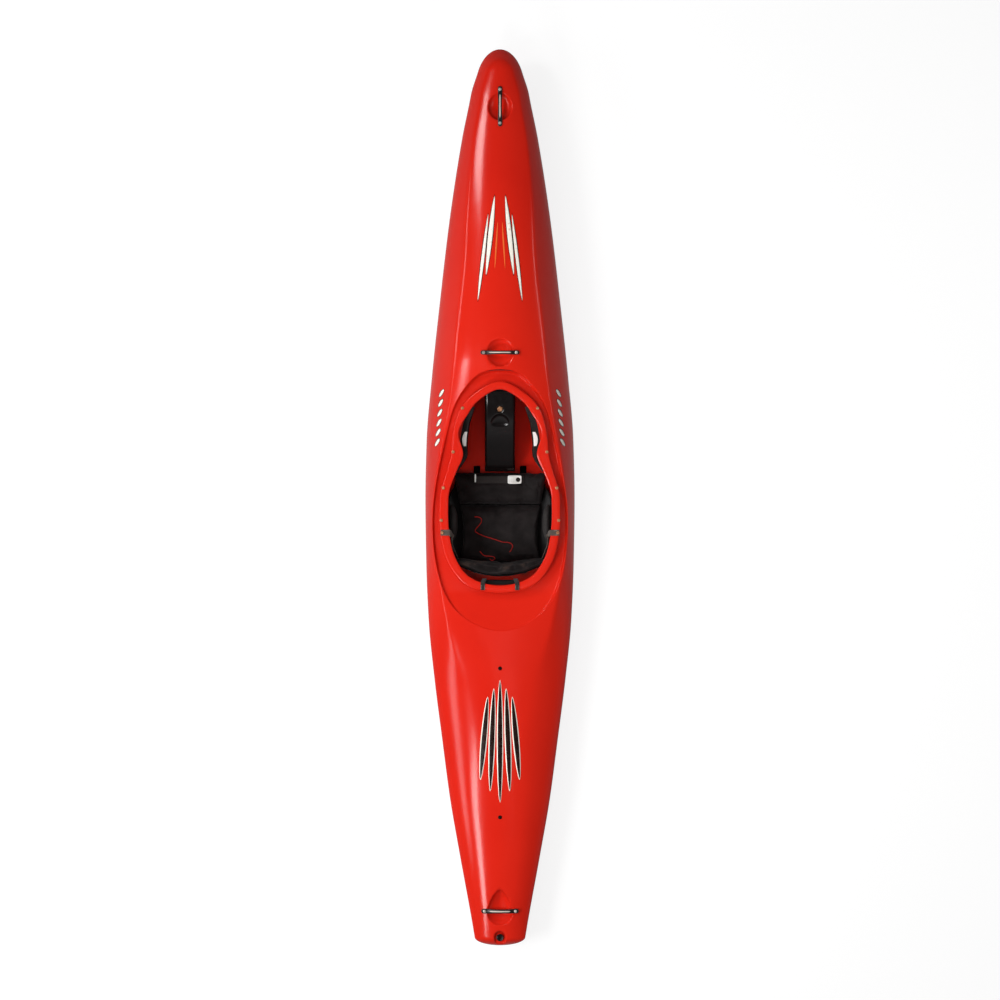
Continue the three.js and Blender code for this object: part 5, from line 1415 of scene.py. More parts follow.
def instancing_tree() -> bpy.types.NodeTree:
    """A node tree that sets one prototype on every point, turned to the point's own directions.

    Returns:
        The tree, with the inputs Prototype and Finish.
    """
    tree = bpy.data.node_groups.new("set_on_points", "GeometryNodeTree")
    for name, way, kind in (("Geometry", "INPUT", "Geometry"), ("Prototype", "INPUT", "Object"),
                            ("Finish", "INPUT", "Material"), ("Geometry", "OUTPUT", "Geometry")):
        tree.interface.new_socket(name, in_out=way, socket_type=f"NodeSocket{kind}")

    g = Nodes(tree)
    start, end = g.add("NodeGroupInput"), g.add("NodeGroupOutput")
    source, place = g.add("GeometryNodeObjectInfo"), g.add("GeometryNodeInstanceOnPoints")
    up, along = (g.add("GeometryNodeInputNamedAttribute", data_type="FLOAT_VECTOR") for _ in range(2))
    up.inputs["Name"].default_value, along.inputs["Name"].default_value = "up", "along"
    stand = g.add("FunctionNodeAlignEulerToVector", axis="Z")
    turn = g.add("FunctionNodeAlignEulerToVector", axis="X", pivot_axis="Z")
    wobble = g.add("FunctionNodeRandomValue", data_type="FLOAT")
    wobble.inputs[2].default_value, wobble.inputs[3].default_value = 0.985, 1.015
    wobble.inputs["Seed"].default_value = 7
    real, finish = g.add("GeometryNodeRealizeInstances"), g.add("GeometryNodeSetMaterial")
    for output, target in (
            (start.outputs["Prototype"], source.inputs["Object"]),
            (up.outputs["Attribute"], stand.inputs["Vector"]),
            (stand.outputs["Rotation"], turn.inputs["Rotation"]),
            (along.outputs["Attribute"], turn.inputs["Vector"]),
            (start.outputs["Geometry"], place.inputs["Points"]),
            (source.outputs["Geometry"], place.inputs["Instance"]),
            (turn.outputs["Rotation"], place.inputs["Rotation"]),
            (wobble.outputs[1], place.inputs["Scale"]),
            (place.outputs["Instances"], real.inputs["Geometry"]),
            (real.outputs["Geometry"], finish.inputs["Geometry"]),
            (start.outputs["Finish"], finish.inputs["Material"]),
            (finish.outputs["Geometry"], end.inputs["Geometry"])):
        g.link(output, target)
    return tree


@dataclass(frozen=True)
class Spot:
    """A place for an instance, in millimetres, with its own up and lengthwise directions."""

    at: Point
    up: Point = (0, 0, 1)
    along: Point = (1, 0, 0)


def instanced(name: str, spots: Sequence[Spot], prototype: Object, finish: Material) -> Object:
    """One mesh with a copy of a prototype at every spot.

    Args:
        name: the piece's name.
        spots: where the copies go.
        prototype: the object copied, removed afterwards.
        finish: material of the copies.

    Returns:
        The finished mesh object.
    """
    mesh = bpy.data.meshes.new(name)
    mesh.from_pydata([tuple(c * MM for c in spot.at) for spot in spots], [], [])
    for key in ("up", "along"):
        layer = mesh.attributes.new(key, "FLOAT_VECTOR", "POINT")
        layer.data.foreach_set("vector", np.array([getattr(s, key) for s in spots], float).ravel())
    made = linked(name, mesh)
    tree = bpy.data.node_groups.get("set_on_points") or instancing_tree()
    modifier = made.modifiers.new("instances", "NODES")
    modifier.node_group = tree
    sockets = {item.name: item.identifier for item in tree.interface.items_tree if item.in_out == "INPUT"}
    for key, value in (("Prototype", prototype), ("Finish", finish)):
        modifier[sockets[key]] = value
    made.update_tag()
    baked(made)
    bpy.data.objects.remove(prototype)
    return made


class Turned:
    """Rings round an upright axis, gathered one by one."""

    def __init__(self, sides: int, y: float = 0.0) -> None:
        """Starts empty.

        Args:
            sides: points of each ring.
            y: Y of the axis, whose X is 0.
        """
        self.turn = turns(sides)
        self.y = y
        self.rings: List[np.ndarray] = []

    def ring(self, reach: object, level: float) -> None:
        """Adds a ring.

        Args:
            reach: its reach from the axis, one number or one for every point.
            level: its height.
        """
        reach = np.broadcast_to(reach, len(self.turn))
        x, y = reach * np.cos(self.turn), self.y + reach * np.sin(self.turn)
        self.rings.append(np.stack([x, y, np.full(len(x), level)], 1))

    def build(self, name: str, finish: Material) -> Object:
        """The body through the rings."""
        return lofted(name, np.array(self.rings), finish)


def recess_head(name: str, radius: float, height: float, socket: float, finish: Material,
                cross: bool = False) -> Object:
    """A fastener's domed head with a washer face and a driver recess.

    Args:
        name: name of the prototype.
        radius: head radius in millimetres.
        height: head height.
        socket: recess radius.
        finish: its material.
        cross: whether the recess is a cross, not a hexagon.

    Returns:
        The prototype, standing on the origin.
    """
    head = Turned(36)
    if cross:
        star = 0.42 + 0.58 * np.abs(np.cos(2 * head.turn)) ** 4
    else:
        star = math.cos(math.pi / 6) / np.cos((head.turn + math.pi / 6) % (math.pi / 3) - math.pi / 6)
    face = 0.4
    for share, level in ((0.0, -1.2), (1.0, -1.2), (1.12, -0.8), (1.12, 0.1), (1.06, 0.35), (1.0, face)):
        head.ring(max(share * radius, 0.01), level)
    for step in (0.15, 0.4, 0.65, 0.85, 1.0):
        turn = step * math.pi / 2
        head.ring(radius * math.cos(turn * 0.62), face + (height - face) * math.sin(turn))
    head.ring(socket * star * 1.06, height)
    head.ring(socket * star, height - 0.25)
    head.ring(socket * star * 0.94, height - 0.55 * height)
    head.ring(0.01, height - 0.62 * height)
    return head.build(name, finish)


def dressed(node: str, finish: Material, width: float = 2.0, segments: int = 3, angle: float = 30.0,
            name: Optional[str] = None) -> Object:
    """A refined copy of a CAD node's mesh with rounded edges.

    Args:
        node: the node.
        finish: its material.
        width: bevel in millimetres.
        segments: bevel segments.
        angle: edges sharper than this are rounded.
        name: name of the piece, the node's with _dressed if none.

    Returns:
        The new object, not yet riding on a body.
    """
    built = bmesh.new()
    built.from_mesh(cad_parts[node].data)
    bmesh.ops.remove_doubles(built, verts=built.verts, dist=5e-5)
    bmesh.ops.dissolve_limit(built, angle_limit=math.radians(1.5), verts=built.verts, edges=built.edges)
    bmesh.ops.recalc_face_normals(built, faces=built.faces)
    mesh = bpy.data.meshes.new(node + "_dressed")
    built.to_mesh(mesh)
    built.free()
    mesh.materials.append(finish)
    made = linked(name or node + "_dressed", smoothed(mesh))
    bevel = made.modifiers.new("edge", "BEVEL")
    bevel.width, bevel.segments, bevel.limit_method = width * MM, segments, "ANGLE"
    bevel.angle_limit = math.radians(angle)
    made.modifiers.new("shade", "WEIGHTED_NORMAL")
    return baked(made)


# Soft pieces


def vertices(piece: Object) -> np.ndarray:
    """A piece's vertices in metres, one row each."""
    held = np.zeros(len(piece.data.vertices) * 3)
    piece.data.vertices.foreach_get("co", held)
    return held.reshape(-1, 3)


def reshape(piece: Object, points: np.ndarray) -> None:
    """Writes changed vertices back to a piece."""
    piece.data.vertices.foreach_set("co", np.asarray(points, float).ravel())
    piece.data.update()


def inflate(piece: Object, cap: float, held: Callable[[np.ndarray], np.ndarray],
            slack: float = 0.03) -> Object:
    """Fills a padded piece out with a short cloth simulation.

    Args:
        piece: a closed mesh.
        cap: the farthest that a vertex may move, in millimetres.
        held: gives from the vertices, in metres, a weight of 1 where the cover is held.
        slack: how much larger the cover is than the filling.

    Returns:
        The same object, with its folds in the mesh.
    """
    even = piece.modifiers.new("even", "REMESH")
    even.mode, even.voxel_size, even.use_smooth_shade = "VOXEL", CLOTH_VOXEL * MM, True
    material = piece.data.materials[0]
    baked(piece)
    if not piece.data.materials:
        piece.data.materials.append(material)
    rest = vertices(piece)
    group = piece.vertex_groups.new(name="held")
    for i, weight in enumerate(held(rest)):
        group.add([i], float(weight), "REPLACE")
    cloth = piece.modifiers.new("cover", "CLOTH")
    setting = cloth.settings
    setting.quality, setting.mass = 4, 0.2
    setting.tension_stiffness = setting.compression_stiffness = 12
    setting.bending_stiffness = 0.15
    setting.use_pressure, setting.uniform_pressure_force = True, 4
    setting.effector_weights.gravity = 0
    setting.vertex_group_mass = "held"
    setting.shrink_min = -slack
    cloth.collision_settings.use_self_collision = False
    scene = bpy.context.scene
    cloth.point_cache.frame_start, cloth.point_cache.frame_end = 1, CLOTH_FRAMES
    for number in range(1, CLOTH_FRAMES + 1):
        scene.frame_set(number)
    step = vertices(piece.evaluated_get(bpy.context.evaluated_depsgraph_get())) - rest
    length = np.linalg.norm(step, axis=1)[:, None]
    step *= np.minimum(1, cap * MM / np.maximum(length, 1e-9))
    piece.modifiers.clear()
    piece.vertex_groups.clear()
    piece.data.vertices.foreach_set("co", (rest + step).ravel())
    scene.frame_set(1)
    farthest = float(np.linalg.norm(step, axis=1).max() / MM)
    LOG.info("%s filled out, moved up to %.1f mm", piece.name, farthest)
    finer = piece.modifiers.new("smooth", "SUBSURF")
    finer.levels = finer.render_levels = 1
    return baked(piece)


def tube(path: np.ndarray, radius: float, sides: int) -> np.ndarray:
    """Rings of a tube along a level closed path.

    Args:
        path: points of the path in millimetres, one row each.
        radius: the tube's radius.
        sides: points of each ring.

    Returns:
        Array of shape (points, sides, 3).
    """
    tangent = np.roll(path, -1, 0) - np.roll(path, 1, 0)
    tangent /= np.linalg.norm(tangent, axis=1)[:, None]
    side = np.cross(tangent, [0, 0, 1.0])
    side /= np.linalg.norm(side, axis=1)[:, None]
    up = np.cross(side, tangent)
    c, s = (f(turns(sides))[None, :, None] for f in (np.cos, np.sin))
    return path[:, None] + radius * (side[:, None] * c + up[:, None] * s)


@dataclass(frozen=True)
class TapePlace:
    """A point on the middle of a tape, the direction of its width, and the share of the width left there."""

    at: Point
    across: Point
    left: float = 1.0


def tape(name: str, places: Sequence[TapePlace], width: float, thick: float, finish: Material) -> Object:
    """A woven tape along places, with a UV map in metres along and across it.

    Args:
        name: the piece's name.
        places: places in millimetres.
        width: full width.
        thick: thickness.
        finish: its material.

    Returns:
        The tape.
    """
    data = open_curve(np.array([[*p.at, *p.across, p.left] for p in places], float), 8)
    at, across, left = data[:, :3], data[:, 3:6], data[:, 6]
    run = np.gradient(at, axis=0)
    run /= np.linalg.norm(run, axis=1)[:, None]
    wide = across - run * (across * run).sum(1)[:, None]
    wide /= np.linalg.norm(wide, axis=1)[:, None]
    up = np.cross(wide, run)
    under = [(-1, -0.35), (-0.97, -0.5), (-0.5, -0.5), (0, -0.5), (0.5, -0.5), (0.97, -0.5), (1, -0.35)]
    section = np.array(under + [(x, -z) for x, z in under[::-1]])
    rings = (at[:, None] + wide[:, None] * (section[:, 0] * width / 2)[None, :, None] * left[:, None, None]
             + up[:, None] * (section[:, 1] * thick)[None, :, None])
    made = lofted(name, rings, finish)
    length = np.concatenate([[0], np.cumsum(np.linalg.norm(np.diff(at, axis=0), axis=1))]) * MM
    layer = made.data.uv_layers.new(name="UVMap")
    points = vertices(made) / MM
    flat = rings.reshape(-1, 3)
    for loop in made.data.loops:
        k = int(np.argmin(((flat - points[loop.vertex_index]) ** 2).sum(1)))
        row, column = divmod(k, len(section))
        layer.data[loop.index].uv = (length[row], section[column, 0] * width / 2 * MM)
    return made


# Deck fittings


@dataclass
class HandleSize:
    """One grab handle: where it is and how large."""

    name: str
    place: float
    length: float
    width: float
    lengthwise: bool


@dataclass
class Handles:
    """Grab handles with a pale inlay and two screws each."""

    finishes: Finishes
    hull: HullForm
    recesses: Recesses
    rise: float = 15
    thick: float = 10
    foot: float = 27
    foot_height: float = 6
    bedded: float = 2.5
    end_length: float = 8
    end_drop: float = 2.5
    blend_start: float = 5
    blend_length: float = 12
    arch_power: float = 0.75
    inlay_share: float = 0.86
    inlay_sunk: float = 0.7
    pillar_screws: Tuple[float, float] = (-693.0, -1300.0)
    sizes: Tuple[HandleSize, ...] = (
        HandleSize("bow", 1590, 165, 18, True),
        HandleSize("fore", 589, 159, 17, False),
        HandleSize("stern", -1684, 153, 19, False),
    )

    def slope(self, size: HandleSize) -> float:
        """Pitch of the deck under a handle."""
        run = size.length / 2 if size.lengthwise else size.width
        climb = float(self.hull.crown(size.place + run) - self.hull.crown(size.place - run))
        return math.atan2(climb, 2 * run)

    def to_place(self, size: HandleSize) -> Matrix:
        """Matrix from a handle along X at the origin to its place, in millimetres."""
        turn = Matrix.Rotation(math.pi / 2 if size.lengthwise else 0, 4, "Z")
        pitch = Matrix.Rotation(self.slope(size), 4, "X")
        return Matrix.Translation((0, size.place, float(self.hull.crown(size.place)))) @ pitch @ turn

    def arch(self, reach: float, grip: float) -> float:
        """Share of the rise at a reach from the bar's middle, none at the grip's end and beyond."""
        return math.cos(reach / grip * math.pi / 2) ** self.arch_power if reach < grip else 0.0

    def bar(self, size: HandleSize) -> Object:
        """The arched bar with its two feet, bedded in the deck.

        Args:
            size: the handle.

        Returns:
            The bar in its place.
        """
        half, end = size.length / 2, self.end_length
        grip = half - self.foot
        matrix = self.to_place(size)
        tip = np.array([0, 1.5, 4])
        rings = []
        for x in np.concatenate([tip - half, np.linspace(end - half, half - end, 45), (half - tip)[::-1]]):
            reach = abs(x)
            arch = self.arch(reach, grip)
            top = self.foot_height + (self.rise - self.foot_height) * arch
            spot = matrix @ Vector((x, 0, 0))
            deck = float(self.recesses.height(np.array(spot.x), np.array(spot.y))) - spot.z
            blend = min(max((reach - grip + self.blend_start) / self.blend_length, 0), 1)
            low = (top - self.thick) * (1 - blend) + (min(deck, 0) - self.bedded) * blend
            closing = math.sqrt(max(1 - (max(reach - (half - end), 0) / (end + 0.001)) ** 2, 0.04))
            wide = size.width / 2 * (0.86 + 0.14 * (1 - arch)) * closing
            top -= (1 - closing) * self.end_drop
            ring = superellipse(wide, (top - low) / 2, 3.0, 20)
            rings.append([(x, a, (top + low) / 2 + b) for a, b in ring])
        return placed(lofted(f"{size.name}_handle", np.array(rings), self.finishes.moulding), matrix)

    def inlay(self, size: HandleSize) -> Object:
        """The pale strip let into the top of the grip.

        Args:
            size: the handle.

        Returns:
            The strip in its place.
        """
        grip = size.length / 2 - self.foot
        half = grip * self.inlay_share
        rings = []
        for x in np.linspace(-half, half, 31):
            rise = (self.rise - self.foot_height) * self.arch(abs(x), grip)
            top = self.foot_height + rise - self.inlay_sunk
            end = math.sqrt(max(1 - (abs(x) / (half + 0.01)) ** 8, 0.02))
            rings.append([(x, a, top + b) for a, b in superellipse(size.width * 0.16 * end, 1.1, 2.6, 12)])
        made = lofted(f"{size.name}_handle_inlay", np.array(rings), self.finishes.inlay)
        return placed(made, self.to_place(size))

    def build(self) -> None:
        """All three handles and their screws."""
        spots, nodes = [], []
        for size in self.sizes:
            seated(self.bar(size), "root", "black_moulding", f"{size.name}_grab_handle")
            seated(self.inlay(size), "root", "black_moulding")
            matrix = self.to_place(size)
            up = matrix.to_3x3() @ Vector((0, 0, 1))
            labels = ("rear", "front") if size.lengthwise else ("left", "right")
            for sign, label in zip((-1, 1), labels):
                at = matrix @ Vector((sign * (size.length / 2 - self.foot / 2), 0, self.foot_height + 0.4))
                spots.append(Spot(tuple(at), tuple(up)))
                nodes.append(f"{size.name}_handle_screw_{label}")
        head = recess_head("screw_head", 5.6, 2.6, 2.6, self.finishes.steel, cross=True)
        seated(instanced("handle_screws", spots, head, self.finishes.steel), "root", "dark_steel", *nodes)
        spots = []
        for y in self.pillar_screws:
            slope = float(self.hull.crown(y + 5) - self.hull.crown(y - 5)) / 10
            spots.append(Spot((0, y, float(self.hull.crown(y)) + 0.6), (0, -slope, 1)))
        head = recess_head("pillar_screw_head", 7.2, 2.8, 2.8, self.finishes.black_steel, cross=True)
        screws = instanced("pillar_screws", spots, head, self.finishes.black_steel)
        seated(screws, "root", "dark_steel", "pillar_screw_front", "pillar_screw_rear")


@dataclass
class DrainPlug:
    """The plug in the stern with its sealing ring."""

    finishes: Finishes
    place: float = -1793
    radius: float = 15
    cap_height: float = 8
    ribs: int = 12
    rib_depth: float = 0.035
    seal_radius: float = 11.0
    sides: int = 48

    def plug(self, bottom: float, top: float) -> Object:
        """The plug with its ribbed cap and the hollow in it.

        Args:
            bottom: height of its lower end.
            top: height of its top.

        Returns:
            The plug.
        """
        cap = top - self.cap_height
        form = Turned(self.sides, self.place)
        ribs = 1 - self.rib_depth * (np.cos(form.turn * self.ribs) > 0.2)
        for radius, level in ((0.01, bottom), (8.6, bottom), (9, bottom + 1), (9, cap - 0.4)):
            form.ring(radius, level)
        for share, level, ribbed in ((0.9, cap, 1), (1.0, cap + 0.4, ribs), (1.0, top - 2.4, ribs),
                                     (0.985, top - 1.1, ribs), (0.93, top - 0.3, 1), (0.86, top, 1),
                                     (0.8, top - 0.2, 1), (0.74, top - 1.6, 1), (0.4, top - 2.0, 1)):
            form.ring(self.radius * share * ribbed, level)
        form.ring(0.01, top - 2.1)
        return form.build("drain_plug_cap", self.finishes.satin)

    def grip(self, level: float) -> Object:
        """The bar across the hollow, at a height."""
        bar = np.array([[(x, self.place + a, level + b) for a, b in superellipse(2.4, 1.5, 3, 12)]
                        for x in (-10.6, -10.2, -9, 0, 9, 10.2, 10.6)])
        for end in (0, -1):
            bar[end] = bar[end].mean(0) + (bar[end] - bar[end].mean(0)) * 0.5
        return lofted("drain_plug_grip", bar, self.finishes.satin)

    def build(self) -> None:
        """Plug and ring."""
        low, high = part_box("drain_plug")
        top = high.z / MM
        seated(self.plug(low.z / MM, top), "drain_plug", "black_moulding", "drain_plug")
        seated(self.grip(top - 1.2), "drain_plug", "black_moulding")
        low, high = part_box("drain_gasket")
        middle = (low + high) / 2 / MM
        turn = turns(self.sides)
        x, y = middle.x + self.seal_radius * np.cos(turn), middle.y + self.seal_radius * np.sin(turn)
        path = np.stack([x, y, np.full(self.sides, middle.z)], 1)
        seal = lofted("drain_seal", tube(path, 1.25, 12), self.finishes.rubber, Cap.JOINED)
        seated(seal, "drain_gasket", "rubber_seal", "drain_gasket")


@dataclass
class RimBolts:
    """The bolts round the rim."""

    finishes: Finishes
    cockpit: CockpitForm
    head_height: float = 3.4
    length: float = 46
    bolts: Tuple[str, ...] = (
        "brace_bolt_front", "brace_bolt_rear", "seat_bolt_front", "seat_bolt_rear", "side_strap_bolt")

    def build(self) -> None:
        """Heads on the rim as one piece, nuts and shanks below as another."""
        names = [f"{bolt}_{side.label}" for side in Side for bolt in self.bolts]
        heads, nuts = [], []
        for name in names:
            low, high = (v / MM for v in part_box(name))
            x, y = (low.x + high.x) / 2, (low.y + high.y) / 2
            slope = float(self.cockpit.rim_top(y + 4) - self.cockpit.rim_top(y - 4)) / 8
            heads.append(Spot((x, y, high.z - self.head_height), (0, -slope, 1)))
            nuts.append(Spot((x, y, low.z)))
        head = recess_head("bolt_head", 5.8, self.head_height, 3.0, self.finishes.brass)
        seated(instanced("rim_bolts", heads, head, self.finishes.brass), "root", "brass_bolt", *names)
        nut = Turned(6)
        for radius, level in ((0.01, 0), (5.1, 0), (5.6, 0.5), (5.6, 4.6), (5.1, 5.0), (3.0, 5.2),
                              (3.0, self.length), (0.01, self.length)):
            nut.ring(radius, level)
        shape = nut.build("rim_nut", self.finishes.brass)
        seated(instanced("rim_nuts", nuts, shape, self.finishes.brass), "root", "brass_bolt")


@dataclass
class PillarStep:
    """The moulded end of the front pillar, with its hollow and bolt."""

    finishes: Finishes
    front: float = 438
    rear: float = 110
    half: float = 62
    edge: float = 12
    end_round: float = 5
    base: float = 5.6
    height: float = 300.4
    hollow: Tuple[float, float, float, float] = (318, 37, 24, 10)
    bolt: float = 362
    shares: Pairs = ((0, 1), (0.15, 0.95), (0.33, 0.84), (0.55, 0.64), (0.86, 0.4), (0.96, 0.32), (1, 0.26))

    def top(self, x: np.ndarray, y: float) -> np.ndarray:
        """Height of the step's top, with its hollow and the pocket round its bolt.

        Args:
            x: places across the boat.
            y: the place along it.

        Returns:
            The heights there.
        """
        level = float(self.profile((self.front - y) / (self.front - self.rear))) * self.height
        place, across, along, depth = self.hollow
        bulge = (x / across) ** 2 * along * 0.35
        r = np.hypot(x / across, (y - place + bulge) / along)
        bowl = level - depth * np.sqrt(np.clip(1 - r * r, 0, 1))
        z = smooth_min(np.full_like(x, level), np.where(r < 1, bowl, level + (r - 1) * 40), 5)
        pocket = np.hypot(x, y - self.bolt)
        return smooth_min(z, level - 7 + np.maximum(pocket - 12.5, 0) * 6, 2.5)

    def build(self) -> None:
        """The step and its bolt."""
        self.profile = Monotone(self.shares)
        rear, front, half, edge, soft = self.rear, self.front, self.half, self.edge, self.end_round
        places = np.concatenate([[rear, rear + 1, rear + 3, rear + 6], np.arange(rear + 10, front - 6, 4.0),
                                 [front - 5, front - 2, front]])
        arc = np.linspace(0, math.pi / 2, 6)
        flat = np.linspace(half - edge, edge - half, 33)[1:-1]
        across = np.concatenate([[half], half - edge + edge * np.cos(arc), flat,
                                 edge - half - edge * np.sin(arc), [-half]])
        ease = np.concatenate([[0], edge * (1 - np.sin(arc)), np.zeros(len(flat)),
                               edge * (1 - np.cos(arc)), [0]])
        rings = []
        for y in places:
            end = min(y - rear, front - y, soft)
            drop = soft - math.sqrt(max(soft ** 2 - (soft - end) ** 2, 0))
            z = self.top(across, y) - ease - drop
            z[0] = z[-1] = self.base
            rings.append(np.stack([across * (1 - drop * 0.004), np.full(len(across), y), z], 1))
        step = lofted("pillar_step_moulding", np.array(rings), self.finishes.satin)
        seated(step, "root", "black_moulding", "pillar_step")
        level = float(self.top(np.array([0.0]), self.bolt)[0])
        head = recess_head("step_bolt_head", 10.2, 3.8, 4.4, self.finishes.brass)
        fall = (float(self.profile(0.25)) - float(self.profile(0.2))) * self.height
        spot = Spot((0, self.bolt, level + 0.8), (0, fall / (0.05 * (front - rear)), 1))
        bolt = instanced("step_bolt_brass", [spot], head, self.finishes.brass)
        seated(bolt, "root", "brass_bolt", "step_bolt")


# Seat


@dataclass
class Seat:
    """Pan, pad, hip pads and runners."""

    finishes: Finishes
    bottom: float = 23.9
    front: float = -26.6
    length: float = 236
    half: float = 166
    height: float = 34
    channel_half: float = 9
    channel_depth: float = 6
    side_rise: float = 3.0

    def level(self, y: np.ndarray) -> np.ndarray:
        """Height of the pad's top along the boat."""
        t = (self.front - np.asarray(y, float)) / self.length
        full = np.sqrt(np.clip(1 - (2 * t - 1) ** 6, 0, 1))
        return self.bottom + self.height * (0.45 + 0.55 * full)

    def pad(self) -> Object:
        """The seat cushion, with a channel down its middle."""
        rings = []
        for t in np.linspace(0, 1, 37):
            y = self.front - self.length * t
            end = math.sqrt(max(1 - abs(2 * t - 1) ** 10, 0.0)) if 0 < t < 1 else 0.0
            half = self.half - 9 * math.sin(math.pi * t) - 6 * (1 - end)
            top = float(self.level(y)) + 1.5
            ring = []
            for a, b in superellipse(half, (top - self.bottom) / 2, 4.5, 60):
                z = (top + self.bottom) / 2 + b
                if b > 0:
                    z += self.side_rise * (abs(a) / half) ** 2
                    z -= self.channel_depth * math.exp(-(a / self.channel_half) ** 2)
                ring.append((a, y, max(z, self.bottom)))
            rings.append(ring)
        return lofted("seat_cushion", np.array(rings), self.finishes.cloth)

    def bed(self, pad: Object, cords: "Cords") -> None:
        """Draws the pad's top towards the cords that lie on it.

        Args:
            pad: the cushion.
            cords: the cords.
        """
        points, line = vertices(pad), cords.samples() * MM
        under, reach = 0.0019, 0.016
        for i in np.nonzero(points[:, 2] > (self.bottom + 14) * MM)[0]:
            x, y, z = points[i]
            near = np.hypot(line[:, 0] - x, line[:, 1] - y)
            k = int(np.argmin(near))
            points[i, 2] = z + (line[k, 2] - under - z) * math.exp(-(near[k] / reach) ** 2)
        reshape(pad, points)

    def build(self, cords: "Cords") -> None:
        """Everything that rides on the seat's body but the cords, and the runners.

        Args:
            cords: the cords that lie on the pad.
        """
        pan = dressed("seat_pan", self.finishes.tray, 1.6, 2, 40, name="seat_tray")
        seated(pan, "seat", "black_moulding", "seat_pan")
        for side in Side:
            runner = dressed(f"seat_runner_{side.label}", self.finishes.anodised, 1.5)
            seated(runner, "root", "aluminium", f"seat_runner_{side.label}")
        pad = self.pad()
        floor = (self.bottom + 2) * MM
        inflate(pad, 5, lambda v: (v[:, 2] < floor).astype(float))
        self.bed(pad, cords)
        seated(pad, "seat", "black_cloth", "seat_pad")
        for side in Side:
            self.hip_pad(side)

    def hip_pad(self, side: Side) -> None:
        """A carved foam block inside a wing.

        Args:
            side: the wing's side of the boat.
        """
        low, high = (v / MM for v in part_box(f"hip_pad_{side.label}"))
        middle, reach = (low + high) / 2, (high - low) / 2
        wall = high.x if side is Side.RIGHT else low.x
        rings = []
        for t in np.linspace(0, 1, 25):
            along = 2 * t - 1
            swell = max(1 - abs(along) ** 3.2, 0.0) ** 0.5
            y, tall = middle.y + reach.y * along, reach.z * (0.35 + 0.65 * swell)
            ring = []
            for a, b in superellipse(1, 1, 3.2, 28):
                depth = 2 * reach.x * (0.18 + 0.82 * swell) * (1 - 0.22 * (1 - b * b) * swell)
                inward = (1 - a) / 2 * depth
                ring.append((wall - side.value * (inward + 0.2), y, middle.z + b * tall))
            rings.append(ring)
        piece = lofted(f"hip_block_{side.label}", np.array(rings), self.finishes.grey_foam)
        inflate(piece, 5, lambda v: (np.abs(v[:, 0]) > (abs(wall) - 4) * MM).astype(float), slack=0.01)
        seated(piece, "seat", "grey_foam", f"hip_pad_{side.label}")


